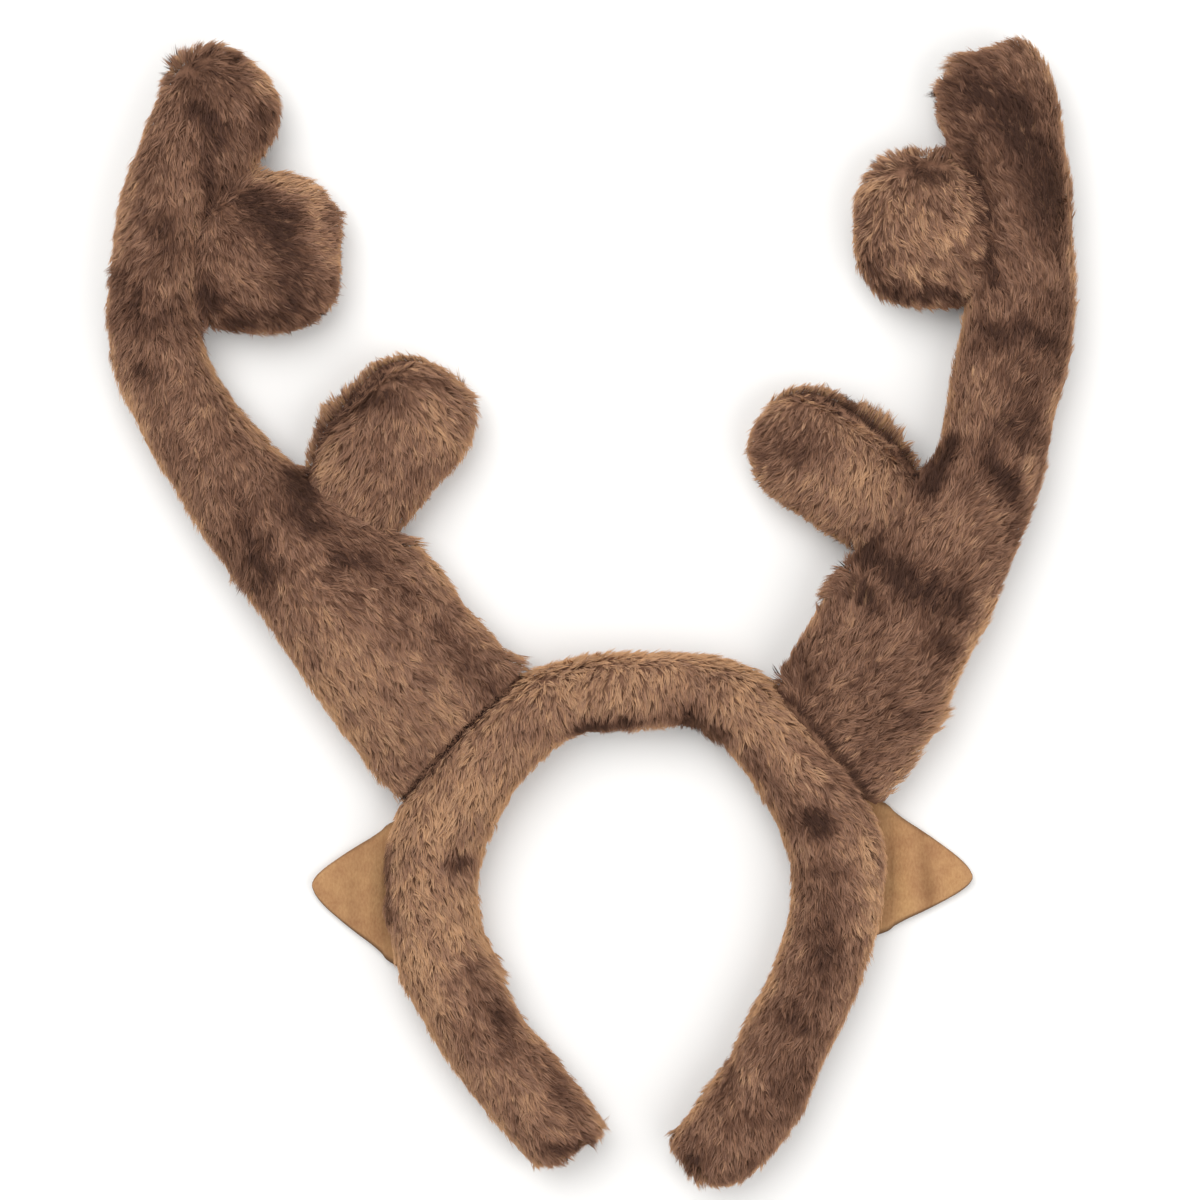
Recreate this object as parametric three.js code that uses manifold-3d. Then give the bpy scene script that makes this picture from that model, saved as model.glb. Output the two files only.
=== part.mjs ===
// Reindeer antler headband of stuffed plush, lying on its back: +Z is its front, +Y its top.
// Left and right are those of someone who looks at its front. Lengths are millimetres.
import * as THREE from "three";
import { LoftGeometry } from "three/addons/geometries/LoftGeometry.js";
import { mergeVertices } from "three/addons/utils/BufferGeometryUtils.js";
import Module from "manifold-3d";

const wasm = await Module();
wasm.setup();

// Driving sizes of the band
const bandSpan = 134; // between the two legs' centre lines, at the temples
const bandRise = 154; // from the crown's centre line down to the leg tips
const bandWidth = 31; // of the tube, seen from the front
const bandDepth = 30; // of the tube, from front to back
const bandTip = 9; // reach of each leg's gathered end
const tipTuck = 7; // how far the gathered cloth is pushed into each end
const endFullness = 0.8; // power of the cosine that a rounded end narrows with, 1 on an ellipse

// Driving sizes of the limbs that both antlers share
const stemWidth = 33;
const stemDepth = 32;
const stemTip = 19; // reach of the stem's rounded top end
const upperTineDepth = 29;
const lowerTineDepth = 29;
const seamGroove = 1.4; // depth of the sewn edge on the lower tines
const earThickness = 2.2;
const earFold = 2.2; // height of the soft fold across each ear, and of its middle over its edges
const earLift = 1.2; // between an ear and the surface that the headband lies on

// The two antlers and ears were cut alike but are stuffed and sewn on differently, so each side has
// its own driving sizes. rise and flare are an antler's height and reach from its seam on the band.
const leftRise = 235;
const leftFlare = 110;
const leftUpperLength = 62; // of the tine, from the middle of the stem
const leftUpperWidth = 55;
const leftLowerLength = 77;
const leftLowerWidth = 45;
const leftEarLength = 40; // from the middle of the band
const leftEarAbove = 19.5;
const leftEarBelow = 24;
const rightRise = 246;
const rightFlare = 73;
const rightUpperLength = 58;
const rightUpperWidth = 52.5;
const rightLowerLength = 75.5;
const rightLowerWidth = 42;
const rightEarLength = 45;
const rightEarAbove = 23;
const rightEarBelow = 17.5;

// Clearances
const sewnGap = 0.3; // between two pieces that are sewn together
const restFlat = 1.2; // how much of each limb's back is pressed flat where it lies

// Fineness of the meshes
const pointsRound = 24;
const stepsPerRow = 2;
const capRings = 5;
const capLastAngle = 82; // of the last ring on a rounded end, where 90 is the peak
const earColumns = 10;

// out is the direction away from the head, seat the place along the band, 0 at the left tip, and lean
// how far the stem's top leans outwards, as a share of its width.
const antlerSides = [
  {
    side: "left",
    out: -1,
    seat: 0.352,
    rise: leftRise,
    flare: leftFlare,
    lean: 0.14,
    upper: { root: 0.797, angle: -1, length: leftUpperLength, width: leftUpperWidth },
    lower: { root: 0.43, angle: 49.5, length: leftLowerLength, width: leftLowerWidth },
  },
  {
    side: "right",
    out: 1,
    seat: 0.656,
    rise: rightRise,
    flare: rightFlare,
    lean: 0.26,
    upper: { root: 0.795, angle: 0, length: rightUpperLength, width: rightUpperWidth },
    lower: { root: 0.418, angle: 33, length: rightLowerLength, width: rightLowerWidth },
  },
];

// above and below are the ear's two half widths where it leaves the band.
const earSides = [
  {
    side: "left",
    out: -1,
    seat: 0.236,
    length: leftEarLength,
    above: leftEarAbove,
    below: leftEarBelow,
  },
  {
    side: "right",
    out: 1,
    seat: 0.735,
    length: rightEarLength,
    above: rightEarAbove,
    below: rightEarBelow,
  },
];

// The band's sections, from the left tip over the crown to the right tip.
// across is a share of half the span, drop of the rise, width and depth of the tube's own.
const bandRows = [
  { across: -0.36, drop: 0.958, width: 0.92, depth: 0.92 },
  { across: -0.578, drop: 0.839, width: 0.97, depth: 0.97 },
  { across: -0.731, drop: 0.753, width: 0.96, depth: 0.98 },
  { across: -0.849, drop: 0.667, width: 0.97, depth: 1.0 },
  { across: -0.938, drop: 0.581, width: 1.03, depth: 1.0 },
  { across: -0.988, drop: 0.495, width: 1.05, depth: 1.0 },
  { across: -1.0, drop: 0.409, width: 1.05, depth: 1.0 },
  { across: -0.96, drop: 0.318, width: 1.06, depth: 1.0 },
  { across: -0.859, drop: 0.219, width: 1.05, depth: 1.0 },
  { across: -0.7, drop: 0.129, width: 0.97, depth: 1.0 },
  { across: -0.469, drop: 0.047, width: 0.9, depth: 0.98 },
  { across: -0.198, drop: 0.009, width: 0.88, depth: 0.97 },
  { across: 0.044, drop: 0.0, width: 0.87, depth: 0.97 },
  { across: 0.291, drop: 0.0, width: 0.82, depth: 0.97 },
  { across: 0.5, drop: 0.03, width: 0.86, depth: 0.98 },
  { across: 0.655, drop: 0.095, width: 0.92, depth: 1.0 },
  { across: 0.79, drop: 0.168, width: 0.98, depth: 1.02 },
  { across: 0.93, drop: 0.263, width: 1.03, depth: 1.02 },
  { across: 0.998, drop: 0.36, width: 1.04, depth: 1.01 },
  { across: 1.0, drop: 0.452, width: 1.02, depth: 1.0 },
  { across: 0.953, drop: 0.538, width: 0.98, depth: 1.0 },
  { across: 0.869, drop: 0.645, width: 0.97, depth: 1.0 },
  { across: 0.741, drop: 0.753, width: 0.99, depth: 1.0 },
  { across: 0.622, drop: 0.86, width: 1.03, depth: 1.02 },
  { across: 0.485, drop: 0.938, width: 1.03, depth: 1.02 },
  { across: 0.355, drop: 1.0, width: 0.97, depth: 0.97 },
];

// Hollows pressed into the band. along is the place on the band, turn the angle from its outer side
// towards its front, deep a share of the tube's radius, long a share of the band, broad an angle.
const bandDents = [
  { along: 0.26, turn: 112, deep: 0.1, long: 0.022, broad: 26 },
  { along: 0.436, turn: 130, deep: 0.1, long: 0.02, broad: 30 },
  { along: 0.53, turn: 158, deep: 0.12, long: 0.018, broad: 34 },
  { along: 0.62, turn: 104, deep: 0.06, long: 0.014, broad: 40 },
  { along: 0.684, turn: 95, deep: 0.1, long: 0.022, broad: 28 },
  { along: 0.9, turn: 70, deep: 0.05, long: 0.02, broad: 30 },
];

// The stems' sections, from inside the band to the top.
// away is a share of the antler's flare, up of its rise, width and depth of the stem's own, and lift
// a share of its depth, by which a section that is gathered into a seam hangs above the surface.
const stemRows = {
  left: [
    { away: 0.018, up: -0.013, width: 1.6, depth: 0.5, lift: 0.24 },
    { away: 0.084, up: 0.031, width: 1.82, depth: 0.6, lift: 0.19 },
    { away: 0.162, up: 0.08, width: 1.83, depth: 1, lift: 0 },
    { away: 0.249, up: 0.131, width: 1.81, depth: 1.12, lift: 0 },
    { away: 0.345, up: 0.19, width: 1.78, depth: 1.12, lift: 0 },
    { away: 0.45, up: 0.242, width: 1.61, depth: 1.08, lift: 0 },
    { away: 0.565, up: 0.294, width: 1.4, depth: 1.04, lift: 0 },
    { away: 0.694, up: 0.353, width: 1.19, depth: 1, lift: 0 },
    { away: 0.823, up: 0.428, width: 1.04, depth: 0.97, lift: 0 },
    { away: 0.949, up: 0.526, width: 0.97, depth: 0.95, lift: 0 },
    { away: 1, up: 0.618, width: 0.94, depth: 0.95, lift: 0 },
    { away: 0.988, up: 0.702, width: 0.92, depth: 0.95, lift: 0 },
    { away: 0.958, up: 0.779, width: 0.94, depth: 0.96, lift: 0 },
    { away: 0.868, up: 0.852, width: 1.14, depth: 1, lift: 0 },
    { away: 0.793, up: 0.912, width: 1.25, depth: 1, lift: 0 },
  ],
  right: [
    { away: 0.045, up: 0.013, width: 1.5, depth: 0.5, lift: 0.24 },
    { away: 0.131, up: 0.063, width: 1.64, depth: 0.62, lift: 0.18 },
    { away: 0.226, up: 0.112, width: 1.62, depth: 1, lift: 0 },
    { away: 0.33, up: 0.169, width: 1.6, depth: 1.1, lift: 0 },
    { away: 0.439, up: 0.226, width: 1.55, depth: 1.1, lift: 0 },
    { away: 0.548, up: 0.279, width: 1.5, depth: 1.07, lift: 0 },
    { away: 0.67, up: 0.341, width: 1.34, depth: 1.03, lift: 0 },
    { away: 0.796, up: 0.405, width: 1.14, depth: 1, lift: 0 },
    { away: 0.878, up: 0.499, width: 1.12, depth: 0.98, lift: 0 },
    { away: 0.941, up: 0.592, width: 1.15, depth: 0.97, lift: 0 },
    { away: 0.982, up: 0.672, width: 1.07, depth: 0.96, lift: 0 },
    { away: 0.991, up: 0.739, width: 0.99, depth: 0.96, lift: 0 },
    { away: 0.973, up: 0.806, width: 1, depth: 0.97, lift: 0 },
    { away: 0.896, up: 0.868, width: 1.2, depth: 1, lift: 0 },
    { away: 0.855, up: 0.914, width: 1.26, depth: 1, lift: 0 },
  ],
};

// The tines' sections, from inside the stem. along is a share of the tine's length, sag of its width,
// and the rest is as in the stems. The first rows are gathered into the seam.
const tineRows = {
  upper: [
    { along: 0.2, sag: 0, width: 0.84, depth: 0.5, lift: 0.26 },
    { along: 0.33, sag: 0.01, width: 0.95, depth: 0.8, lift: 0.1 },
    { along: 0.47, sag: 0.01, width: 1, depth: 0.97, lift: 0 },
    { along: 0.62, sag: 0.01, width: 1, depth: 1, lift: 0 },
  ],
  lower: [
    { along: 0.217, sag: 0.08, width: 0.76, depth: 0.5, lift: 0.28 },
    { along: 0.333, sag: 0.07, width: 0.88, depth: 0.8, lift: 0.1 },
    { along: 0.52, sag: 0.03, width: 1, depth: 1, lift: 0 },
    { along: 0.73, sag: 0.02, width: 0.98, depth: 1, lift: 0 },
  ],
};

// The lower tines' sewn edge, where the back's cloth comes round to the front.
const tineSeam = { turn: 32, broad: 11 };

// The ears' outline. along is a share of the length, spread of the ear's half widths, and fold of
// the fold's height.
const earRows = [
  { along: 0, spread: 1, fold: 0.2 },
  { along: 0.34, spread: 1, fold: 0.3 },
  { along: 0.43, spread: 0.89, fold: 0.75 },
  { along: 0.51, spread: 0.78, fold: 1 },
  { along: 0.62, spread: 0.65, fold: 0.45 },
  { along: 0.74, spread: 0.5, fold: 0.3 },
  { along: 0.91, spread: 0.26, fold: 0.5 },
  { along: 0.975, spread: 0.13, fold: 0.55 },
  { along: 1, spread: 0.04, fold: 0.55 },
];

const plush = { color: 0x8a6248, roughness: 0.95, metalness: 0 };
const suede = { color: 0xb88a5e, roughness: 0.9, metalness: 0 };

const radians = THREE.MathUtils.degToRad;

// The smooth course of a limb through its rows, each { x, y, width, depth, lift }.
function courseOf(rows) {
  const line = new THREE.CatmullRomCurve3(
    rows.map((row) => new THREE.Vector3(row.x, row.y, 0)),
  );
  const sizes = new THREE.CatmullRomCurve3(
    rows.map((row) => new THREE.Vector3(row.width, row.depth, row.lift ?? 0)),
  );
  const at = (share) => {
    const size = sizes.getPoint(share);
    return {
      share,
      place: line.getPoint(share),
      heading: line.getTangent(share),
      width: size.x,
      depth: size.y,
      height: size.y / 2 + size.z - restFlat,
    };
  };
  return { at, steps: (rows.length - 1) * stepsPerRow };
}

// One upright section across a limb. size shrinks it, forward and aside shift it along and across
// the limb, and relief(share, turn) gives how far the cloth is drawn in, as a share of the radius.
// Nothing goes below the surface that the limb lies on, z = 0.
function sectionOf(stop, { size = 1, forward = 0, aside = 0, grow = 0, relief }) {
  const across = new THREE.Vector3(-stop.heading.y, stop.heading.x, 0);
  const centre = stop.place
    .clone()
    .addScaledVector(stop.heading, forward)
    .addScaledVector(across, aside);
  const floor = -grow;
  return Array.from({ length: pointsRound }, (_, i) => {
    const angle = (2 * Math.PI * i) / pointsRound;
    const turn = (360 * i) / pointsRound;
    const drawnIn = relief ? relief(stop.share, turn) : 0;
    const halfWidth = (stop.width / 2) * size * (1 - drawnIn) + grow;
    const halfDepth = (stop.depth / 2) * size * (1 - drawnIn) + grow;
    const point = centre
      .clone()
      .addScaledVector(across, halfWidth * Math.cos(angle));
    point.z = Math.max(stop.height + halfDepth * Math.sin(angle), floor);
    return point;
  });
}

// The sections that round off a limb's end. sense is 1 at its last row and -1 at its first,
// tuck pushes the middle of the end back into the limb, and lean shifts its peak across.
function capSections(stop, sense, { reach, tuck = 0, lean = 0 }, options) {
  return Array.from({ length: capRings }, (_, i) => {
    const angle = radians((capLastAngle * (i + 1)) / capRings);
    const size = Math.cos(angle) ** endFullness;
    const forward =
      (reach + (options.grow ?? 0)) * Math.sin(angle) - tuck * (1 - size) ** 2;
    const aside = lean * stop.width * (1 - size);
    return sectionOf(stop, { ...options, size, forward: sense * forward, aside });
  });
}

// A closed limb along its course, with a rounded end, and a rounded start or a flat one that a
// neighbour's cut takes away.
function limbGeometry(course, { start, end, ...options }) {
  const sections = start ? capSections(course.at(0), -1, start, options).reverse() : [];
  for (let i = 0; i <= course.steps; i++) {
    sections.push(sectionOf(course.at(i / course.steps), options));
  }
  sections.push(...capSections(course.at(1), 1, end, options));
  return loftOf(sections);
}

// The loft through closed sections, closed at both ends by a fan round the section's middle.
function loftOf(sections) {
  const walls = new LoftGeometry(sections);
  const points = [...walls.getAttribute("position").array];
  const faces = [...walls.index.array];
  const columns = sections[0].length;
  for (const row of [0, sections.length - 1]) {
    const middle = new THREE.Vector3();
    sections[row].forEach((point) => middle.addScaledVector(point, 1 / columns));
    const hub = points.length / 3;
    points.push(...middle);
    for (let j = 0; j < columns; j++) {
      const near = row * (columns + 1) + j;
      faces.push(...(row ? [near, near + 1, hub] : [near + 1, near, hub]));
    }
  }
  const closed = new THREE.BufferGeometry()
    .setAttribute("position", new THREE.Float32BufferAttribute(points, 3))
    .setIndex(faces);
  return mergeVertices(closed);
}

function solidOf(geometry) {
  return new wasm.Manifold(
    new wasm.Mesh({
      numProp: 3,
      vertProperties: geometry.attributes.position.array,
      triVerts: new Uint32Array(geometry.index.array),
    }),
  );
}

function geometryOf(solid) {
  const mesh = solid.getMesh();
  return new THREE.BufferGeometry()
    .setAttribute("position", new THREE.BufferAttribute(mesh.vertProperties, 3))
    .setIndex(new THREE.BufferAttribute(mesh.triVerts, 1));
}

// What is left of a piece that stands in the group own, once the tool in the group other is taken
// off. Both groups have their places already.
function cutGeometry(geometry, own, tool, other) {
  own.updateWorldMatrix(true, false);
  other.updateWorldMatrix(true, false);
  const toOwn = own.matrixWorld.clone().invert().multiply(other.matrixWorld);
  const moved = tool.clone().applyMatrix4(toOwn);
  return geometryOf(solidOf(geometry).subtract(solidOf(moved)));
}

function meshOf(name, geometry, look) {
  const flat = geometry.toNonIndexed();
  flat.computeVertexNormals();
  const mesh = new THREE.Mesh(flat, new THREE.MeshStandardMaterial(look));
  mesh.name = name;
  return mesh;
}

function angleBetween(a, b) {
  return Math.abs(((a - b + 540) % 360) - 180);
}

function bandRelief(share, turn) {
  return bandDents.reduce((sum, dent) => {
    const awayAlong = (share - dent.along) / dent.long;
    const awayRound = angleBetween(turn, dent.turn) / dent.broad;
    return sum + dent.deep * Math.exp(-(awayAlong ** 2) - awayRound ** 2);
  }, 0);
}

const bandCourse = courseOf(
  bandRows.map((row) => ({
    x: (row.across * bandSpan) / 2,
    y: -row.drop * bandRise,
    width: row.width * bandWidth,
    depth: row.depth * bandDepth,
  })),
);

const bandEnds = {
  start: { reach: bandTip, tuck: tipTuck },
  end: { reach: bandTip, tuck: tipTuck },
};

// The band, and the same shape one sewn gap larger, which everything sewn to it is cut by.
const bandGeometry = limbGeometry(bandCourse, { ...bandEnds, relief: bandRelief });
const bandCutter = limbGeometry(bandCourse, { ...bandEnds, grow: sewnGap });

function addTine(antler, stem, kind, { side, out, [kind]: tine }, tineDepth, relief) {
  const group = new THREE.Group();
  const root = stem.course.at(tine.root).place;
  group.position.copy(root);
  group.rotation.z = radians(out < 0 ? tine.angle : 180 - tine.angle);
  antler.add(group);
  const course = courseOf(
    tineRows[kind].map((row) => ({
      x: row.along * tine.length,
      y: out * row.sag * tine.width,
      width: row.width * tine.width,
      depth: row.depth * tineDepth,
      lift: row.lift * tineDepth,
    })),
  );
  const lastRow = tineRows[kind].at(-1);
  const reach = (1 - lastRow.along) * tine.length;
  const whole = limbGeometry(course, { end: { reach }, relief });
  const cut = cutGeometry(whole, group, stem.cutter, antler);
  group.add(meshOf(`${kind}_tine_${side}`, cut, plush));
}

function addAntler(parent, options) {
  const { side, out, seat, rise, flare, lean } = options;
  const group = new THREE.Group();
  group.position.copy(bandCourse.at(seat).place);
  parent.add(group);
  const course = courseOf(
    stemRows[side].map((row) => ({
      x: out * row.away * flare,
      y: row.up * rise,
      width: row.width * stemWidth,
      depth: row.depth * stemDepth,
      lift: row.lift * stemDepth,
    })),
  );
  const end = { reach: stemTip, lean: -out * lean };
  const whole = limbGeometry(course, { end });
  const cut = cutGeometry(whole, group, bandCutter, parent);
  group.add(meshOf(`antler_${side}`, cut, plush));

  const stem = { course, cutter: limbGeometry(course, { end, grow: sewnGap }) };
  // The left antler's heading turns its outer side to 0 degrees, the right one's to 180.
  const seamTurn = out < 0 ? tineSeam.turn : 180 - tineSeam.turn;
  const seamRelief = (_, turn) =>
    (seamGroove / (lowerTineDepth / 2)) *
    Math.exp(-((angleBetween(turn, seamTurn) / tineSeam.broad) ** 2));
  addTine(group, stem, "upper", options, upperTineDepth);
  addTine(group, stem, "lower", options, lowerTineDepth, seamRelief);
  return { group, cutter: stem.cutter };
}

// An ear is a flat leaf of cloth with a soft fold across it. Each section goes along its top face and
// back along its underside.
function earGeometry({ out, length, above, below }) {
  const sections = earRows.map((row) => {
    const faces = [];
    for (const top of [true, false]) {
      for (let i = 0; i <= earColumns; i++) {
        const column = top ? i : earColumns - i;
        const spread = column / earColumns;
        const y = row.spread * THREE.MathUtils.lerp(-below, above, spread);
        const crown = Math.sin(Math.PI * spread);
        const z = earLift + earFold * row.fold * crown + (top ? earThickness : 0);
        faces.push(new THREE.Vector3(out * row.along * length, y, z));
      }
    }
    return out < 0 ? faces : faces.reverse();
  });
  return loftOf(sections);
}

function addEar(parent, options, antler) {
  const group = new THREE.Group();
  group.position.copy(bandCourse.at(options.seat).place);
  parent.add(group);
  const clearOfBand = cutGeometry(earGeometry(options), group, bandCutter, parent);
  const cut = cutGeometry(clearOfBand, group, antler.cutter, antler.group);
  group.add(meshOf(`ear_${options.side}`, cut, suede));
}

const headpiece = new THREE.Group();
headpiece.add(meshOf("headband", bandGeometry, plush));
antlerSides.forEach((options, i) => {
  const antler = addAntler(headpiece, options);
  addEar(headpiece, earSides[i], antler);
});

// The origin is the middle of the box round everything, on the surface that it lies on.
const box = new THREE.Box3().setFromObject(headpiece, true);
const middle = box.getCenter(new THREE.Vector3());
headpiece.position.set(-middle.x, -middle.y, -box.min.z);

export default headpiece;
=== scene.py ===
"""Reindeer antler headband of stuffed plush, lying on its back on a pale table, seen from straight above.

Lengths in the tables are millimetres, or shares of the named sizes. +X is to the right, +Y to the tops
of the antlers and +Z out of the front. Left and right are those of someone who looks at the front.
Each stuffed limb has a cloth skin, a closed tube worked out from a short table of sections, and a pile:
tens of thousands of thin blades of fur that stand on the skin and lie over towards one side.
"""

import bpy
import numpy as np
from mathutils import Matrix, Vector


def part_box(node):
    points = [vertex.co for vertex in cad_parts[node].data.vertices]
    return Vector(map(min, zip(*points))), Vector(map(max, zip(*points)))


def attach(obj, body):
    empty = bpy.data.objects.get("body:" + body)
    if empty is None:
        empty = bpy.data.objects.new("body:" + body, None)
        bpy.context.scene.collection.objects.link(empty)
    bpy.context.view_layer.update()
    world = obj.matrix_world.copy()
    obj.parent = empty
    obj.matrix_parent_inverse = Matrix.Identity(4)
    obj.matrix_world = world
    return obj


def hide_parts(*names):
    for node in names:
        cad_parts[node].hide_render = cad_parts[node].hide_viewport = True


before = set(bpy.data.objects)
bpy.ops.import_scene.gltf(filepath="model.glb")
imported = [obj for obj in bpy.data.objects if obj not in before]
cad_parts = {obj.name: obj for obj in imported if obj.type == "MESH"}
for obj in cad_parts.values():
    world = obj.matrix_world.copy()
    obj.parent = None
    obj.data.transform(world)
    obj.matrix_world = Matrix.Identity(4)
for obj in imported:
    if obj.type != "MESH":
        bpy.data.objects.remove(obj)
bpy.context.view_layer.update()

MM = 0.001
UP = np.array([0.0, 0.0, 1.0])

# Driving sizes of the band
BAND_SPAN = 134
BAND_RISE = 154
BAND_WIDTH = 31
BAND_DEPTH = 30
BAND_TIP = 9
TIP_TUCK = 7
END_FULLNESS = 0.8

# Driving sizes of the limbs that both antlers share
STEM_WIDTH = 33
STEM_DEPTH = 32
STEM_TIP = 19
UPPER_TINE_DEPTH = 29
LOWER_TINE_DEPTH = 29
SEAM_GROOVE = 1.4
EAR_THICKNESS = 2.2
EAR_FOLD = 2.2
EAR_LIFT = 1.2
REST_FLAT = 1.2

# The pile
PILE_HEIGHT = 2.7  # from the cloth to the outer form of the stuffed limbs
PILE_LENGTH = 5.2
LOCK_LENGTHS = (0.75, 1.2)  # shares of that, lock by lock
BLADE_LENGTHS = (0.8, 1.15)  # shares of its lock's length, blade by blade
BLADE_WIDTH = 0.27
BLADES_IN_LOCK = 9
LOCK_SPREAD = 0.75  # how far a lock's roots stand from its middle
BLADES_PER_MM2 = 4.35
FLOOR_SHARE = 0.3  # of that, where the cloth is pressed on the table
FLOOR_SLOPE = 0.9  # how squarely the cloth faces the table there
FLOOR_HEIGHT = 3  # and how near to it the cloth is
TABLE_CLEARANCE = 0.15
LAST_LOCK = 0.97  # how far into a rounded end the locks stand, as a share of the way to its peak
LAST_ROOT = 0.98  # and how far their blades' roots do
MOST_FACES = 190000  # of one piece of pile

# How a lock lies and stands
WANDER = 15  # its direction's own chance, in degrees
STAND = 20  # its angle over the skin, in degrees
STAND_ON_SIDES = 8  # more of it on the limb's sides
STAND_CHANCE = 5
TUFT_STAND = 0.5  # more of it in a tuft that is twice as long, in radians
FALL = 0.28  # how strongly it falls to the table on the side that it is combed to
FOLLOW = 0.6  # how strongly it follows the outline on the side that it comes from
COMB_CLOUDS = [(24, 24, 40), (26, 5.5, 41)]  # noise in the comb: degrees, cell, seed

# How a lock's blades draw together
LOCK_DRAWN = 0.68  # how far a blade's tip is drawn to its lock's tip
STRAY_DRAWN = 0.15  # and how far that of a stray blade is
STRAYS = 0.15  # the share of blades that stray
TIP_SPREAD = 0.5  # the tips' own chance, before they are drawn
LOCK_TIP_SPREAD = 0.22  # and where they meet
BEND = 0.42  # where along itself a blade bends
BOW = 0.16  # how far it bows out there, as a share of its length
PARTED_FLAT = 0.85  # how much less it does where the pile parts
ROLL = 0.45  # how far its flat side turns, by chance
UPRIGHT = 0.8  # how far its flat side is turned up on the limb's sides

# Where limbs meet
BRIDGE = 5.0  # how near a tine's joint the pile stands up and closes over it
BRIDGE_RISE = 0.12  # how steeply it rises there
PULL_TO_CARRIER = 0.9  # how strongly it is drawn over a joint, from the tine
PULL_FROM_CARRIER = 0.35  # and from the stem
PROBE = 0.5  # the step by which the way to a neighbour is found
COVERED = 2.6  # how deep inside a neighbour no pile grows
SEAM_OVERLAP = 1.2  # how far past a seam it grows
SHORTEST_STUB = 0.15  # what a seam of the band leaves of a blade
TINE_STUB = 0.3  # what the seam of a lower tine leaves of it
# How dark the painted shade in the seam of a lower tine is
TINE_SEAM_SHADE = 0.85

# The pile's tones, from 0 to 1
TONES = 32  # columns of the pile's colour map
WARMTHS = 4  # rows of it
SEAM_TONE = 0.08  # darkest tone of the pile outside the seams
TONE_CLOUDS = [(0.09, 21, 60), (0.12, 5.5, 61), (0.12, 2.6, 63)]  # strength, cell, seed
STRAND_WIDTH = 1.7
STRAND_STRETCH = 5
LOCK_TONES = 0.07  # a lock's own chance
BLADE_TONES = 0.06  # and a blade's
RIM_PAINTED_LIGHT = 0.4  # painted rim light: how much lighter the pile is made at the outline
BEYOND_SEAM_TONE = 0.2  # and beyond the seam of a lower tine

# How the photograph lies over the part
PHOTO_PIXELS = 1200
MM_PER_PIXEL = 0.33
VIEW_AIM = (2.97, 5.1, 15)  # what its middle shows, at half the depth of the limbs

# The seam along the lower tines, where the back's cloth comes round to the front
TINE_SEAM_TURN = 32
TINE_SEAM_BROAD = 11
PILE_SEAM_TURN = 22  # where the pile parts beside it

# Fineness of the skins
SKIN_STEP = 2.6
SKIN_COLUMNS = 44
SKIN_PEAK = 1.96  # the place along a limb of its skin's last row
END_ALLOWANCE = 30  # what its rounded end adds to a limb's length
GRID_STEP = 1.2  # of the grid on which the pile is scattered
GRID_TURNS = 121

# How finely the distance to a limb is worked out
COURSE_STATIONS = 140
LEAST_REACHES = (1.5, 1)  # past a course's start and its end
JOINT_REACH = 0.6  # the share of a limb within which it comes out of its carrier
JOINT_STEPS = 121
JOINT_TURNS = 97
SEAM_NEAR = 9  # past this, a place counts as far from a seam
SEAM_FAR = 50.0
CHUNK = 20000  # places worked out at a time

# The stuffing's lumps
LUMPS = 0.5
LUMP_CELL = 17


# Shapes worked out on arrays


def spline(points, shares):
    """A centripetal Catmull-Rom curve through the points, at shares of the way along it from 0 to 1.

    Between two points b and c it is a cubic. Its end slopes come from the neighbours a and d, with each
    gap weighed by the square root of its length. Past both ends the neighbour is a mirror image.
    """
    points = np.asarray(points, float)
    padded = np.vstack([2 * points[0] - points[1], points, 2 * points[-1] - points[-2]])
    stretches = len(points) - 1
    where = np.clip(shares, 0, 1) * stretches
    stretch = np.minimum(where.astype(int), stretches - 1)
    t = (where - stretch)[:, None]
    a, b, c, d = (padded[stretch + i] for i in range(4))
    first, middle, last = (
        np.sqrt(np.linalg.norm(q - p, axis=1))[:, None] for p, q in ((a, b), (b, c), (c, d))
    )
    tiny = 1e-4
    middle = np.where(middle < tiny, 1, middle)
    first = np.where(first < tiny, middle, first)
    last = np.where(last < tiny, middle, last)
    out = ((b - a) / first - (c - a) / (first + middle) + (c - b) / middle) * middle
    into = ((c - b) / middle - (d - b) / (middle + last) + (d - c) / last) * middle
    return b + out * t + (3 * (c - b) - 2 * out - into) * t**2 + (2 * (b - c) + out + into) * t**3


def soft_noise(places, cell, seed):
    """Smooth noise from -1 to 1: random values on a cubic lattice, blended across each cell.

    cell is the lattice's pitch, and the blend between neighbours goes as 3t^2 - 2t^3.
    """
    lattice = np.random.default_rng(seed).uniform(-1, 1, (24, 24, 24))
    scaled = places / cell
    low = np.floor(scaled).astype(int)
    t = scaled - low
    t = t * t * (3 - 2 * t)
    total = np.zeros(len(places))
    for corner in np.ndindex(2, 2, 2):
        weight = np.prod(np.where(np.array(corner, bool), t, 1 - t), axis=1)
        total += weight * lattice[tuple(((low + corner) % 24).T)]
    return total


def unit(vectors):
    """Each row of vectors, made one long."""
    return vectors / np.maximum(np.linalg.norm(vectors, axis=1, keepdims=True), 1e-9)


def ease(value, low, high):
    """0 below low, 1 above high, and 3t^2 - 2t^3 between."""
    t = np.clip((value - low) / (high - low), 0, 1)
    return t * t * (3 - 2 * t)


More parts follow.
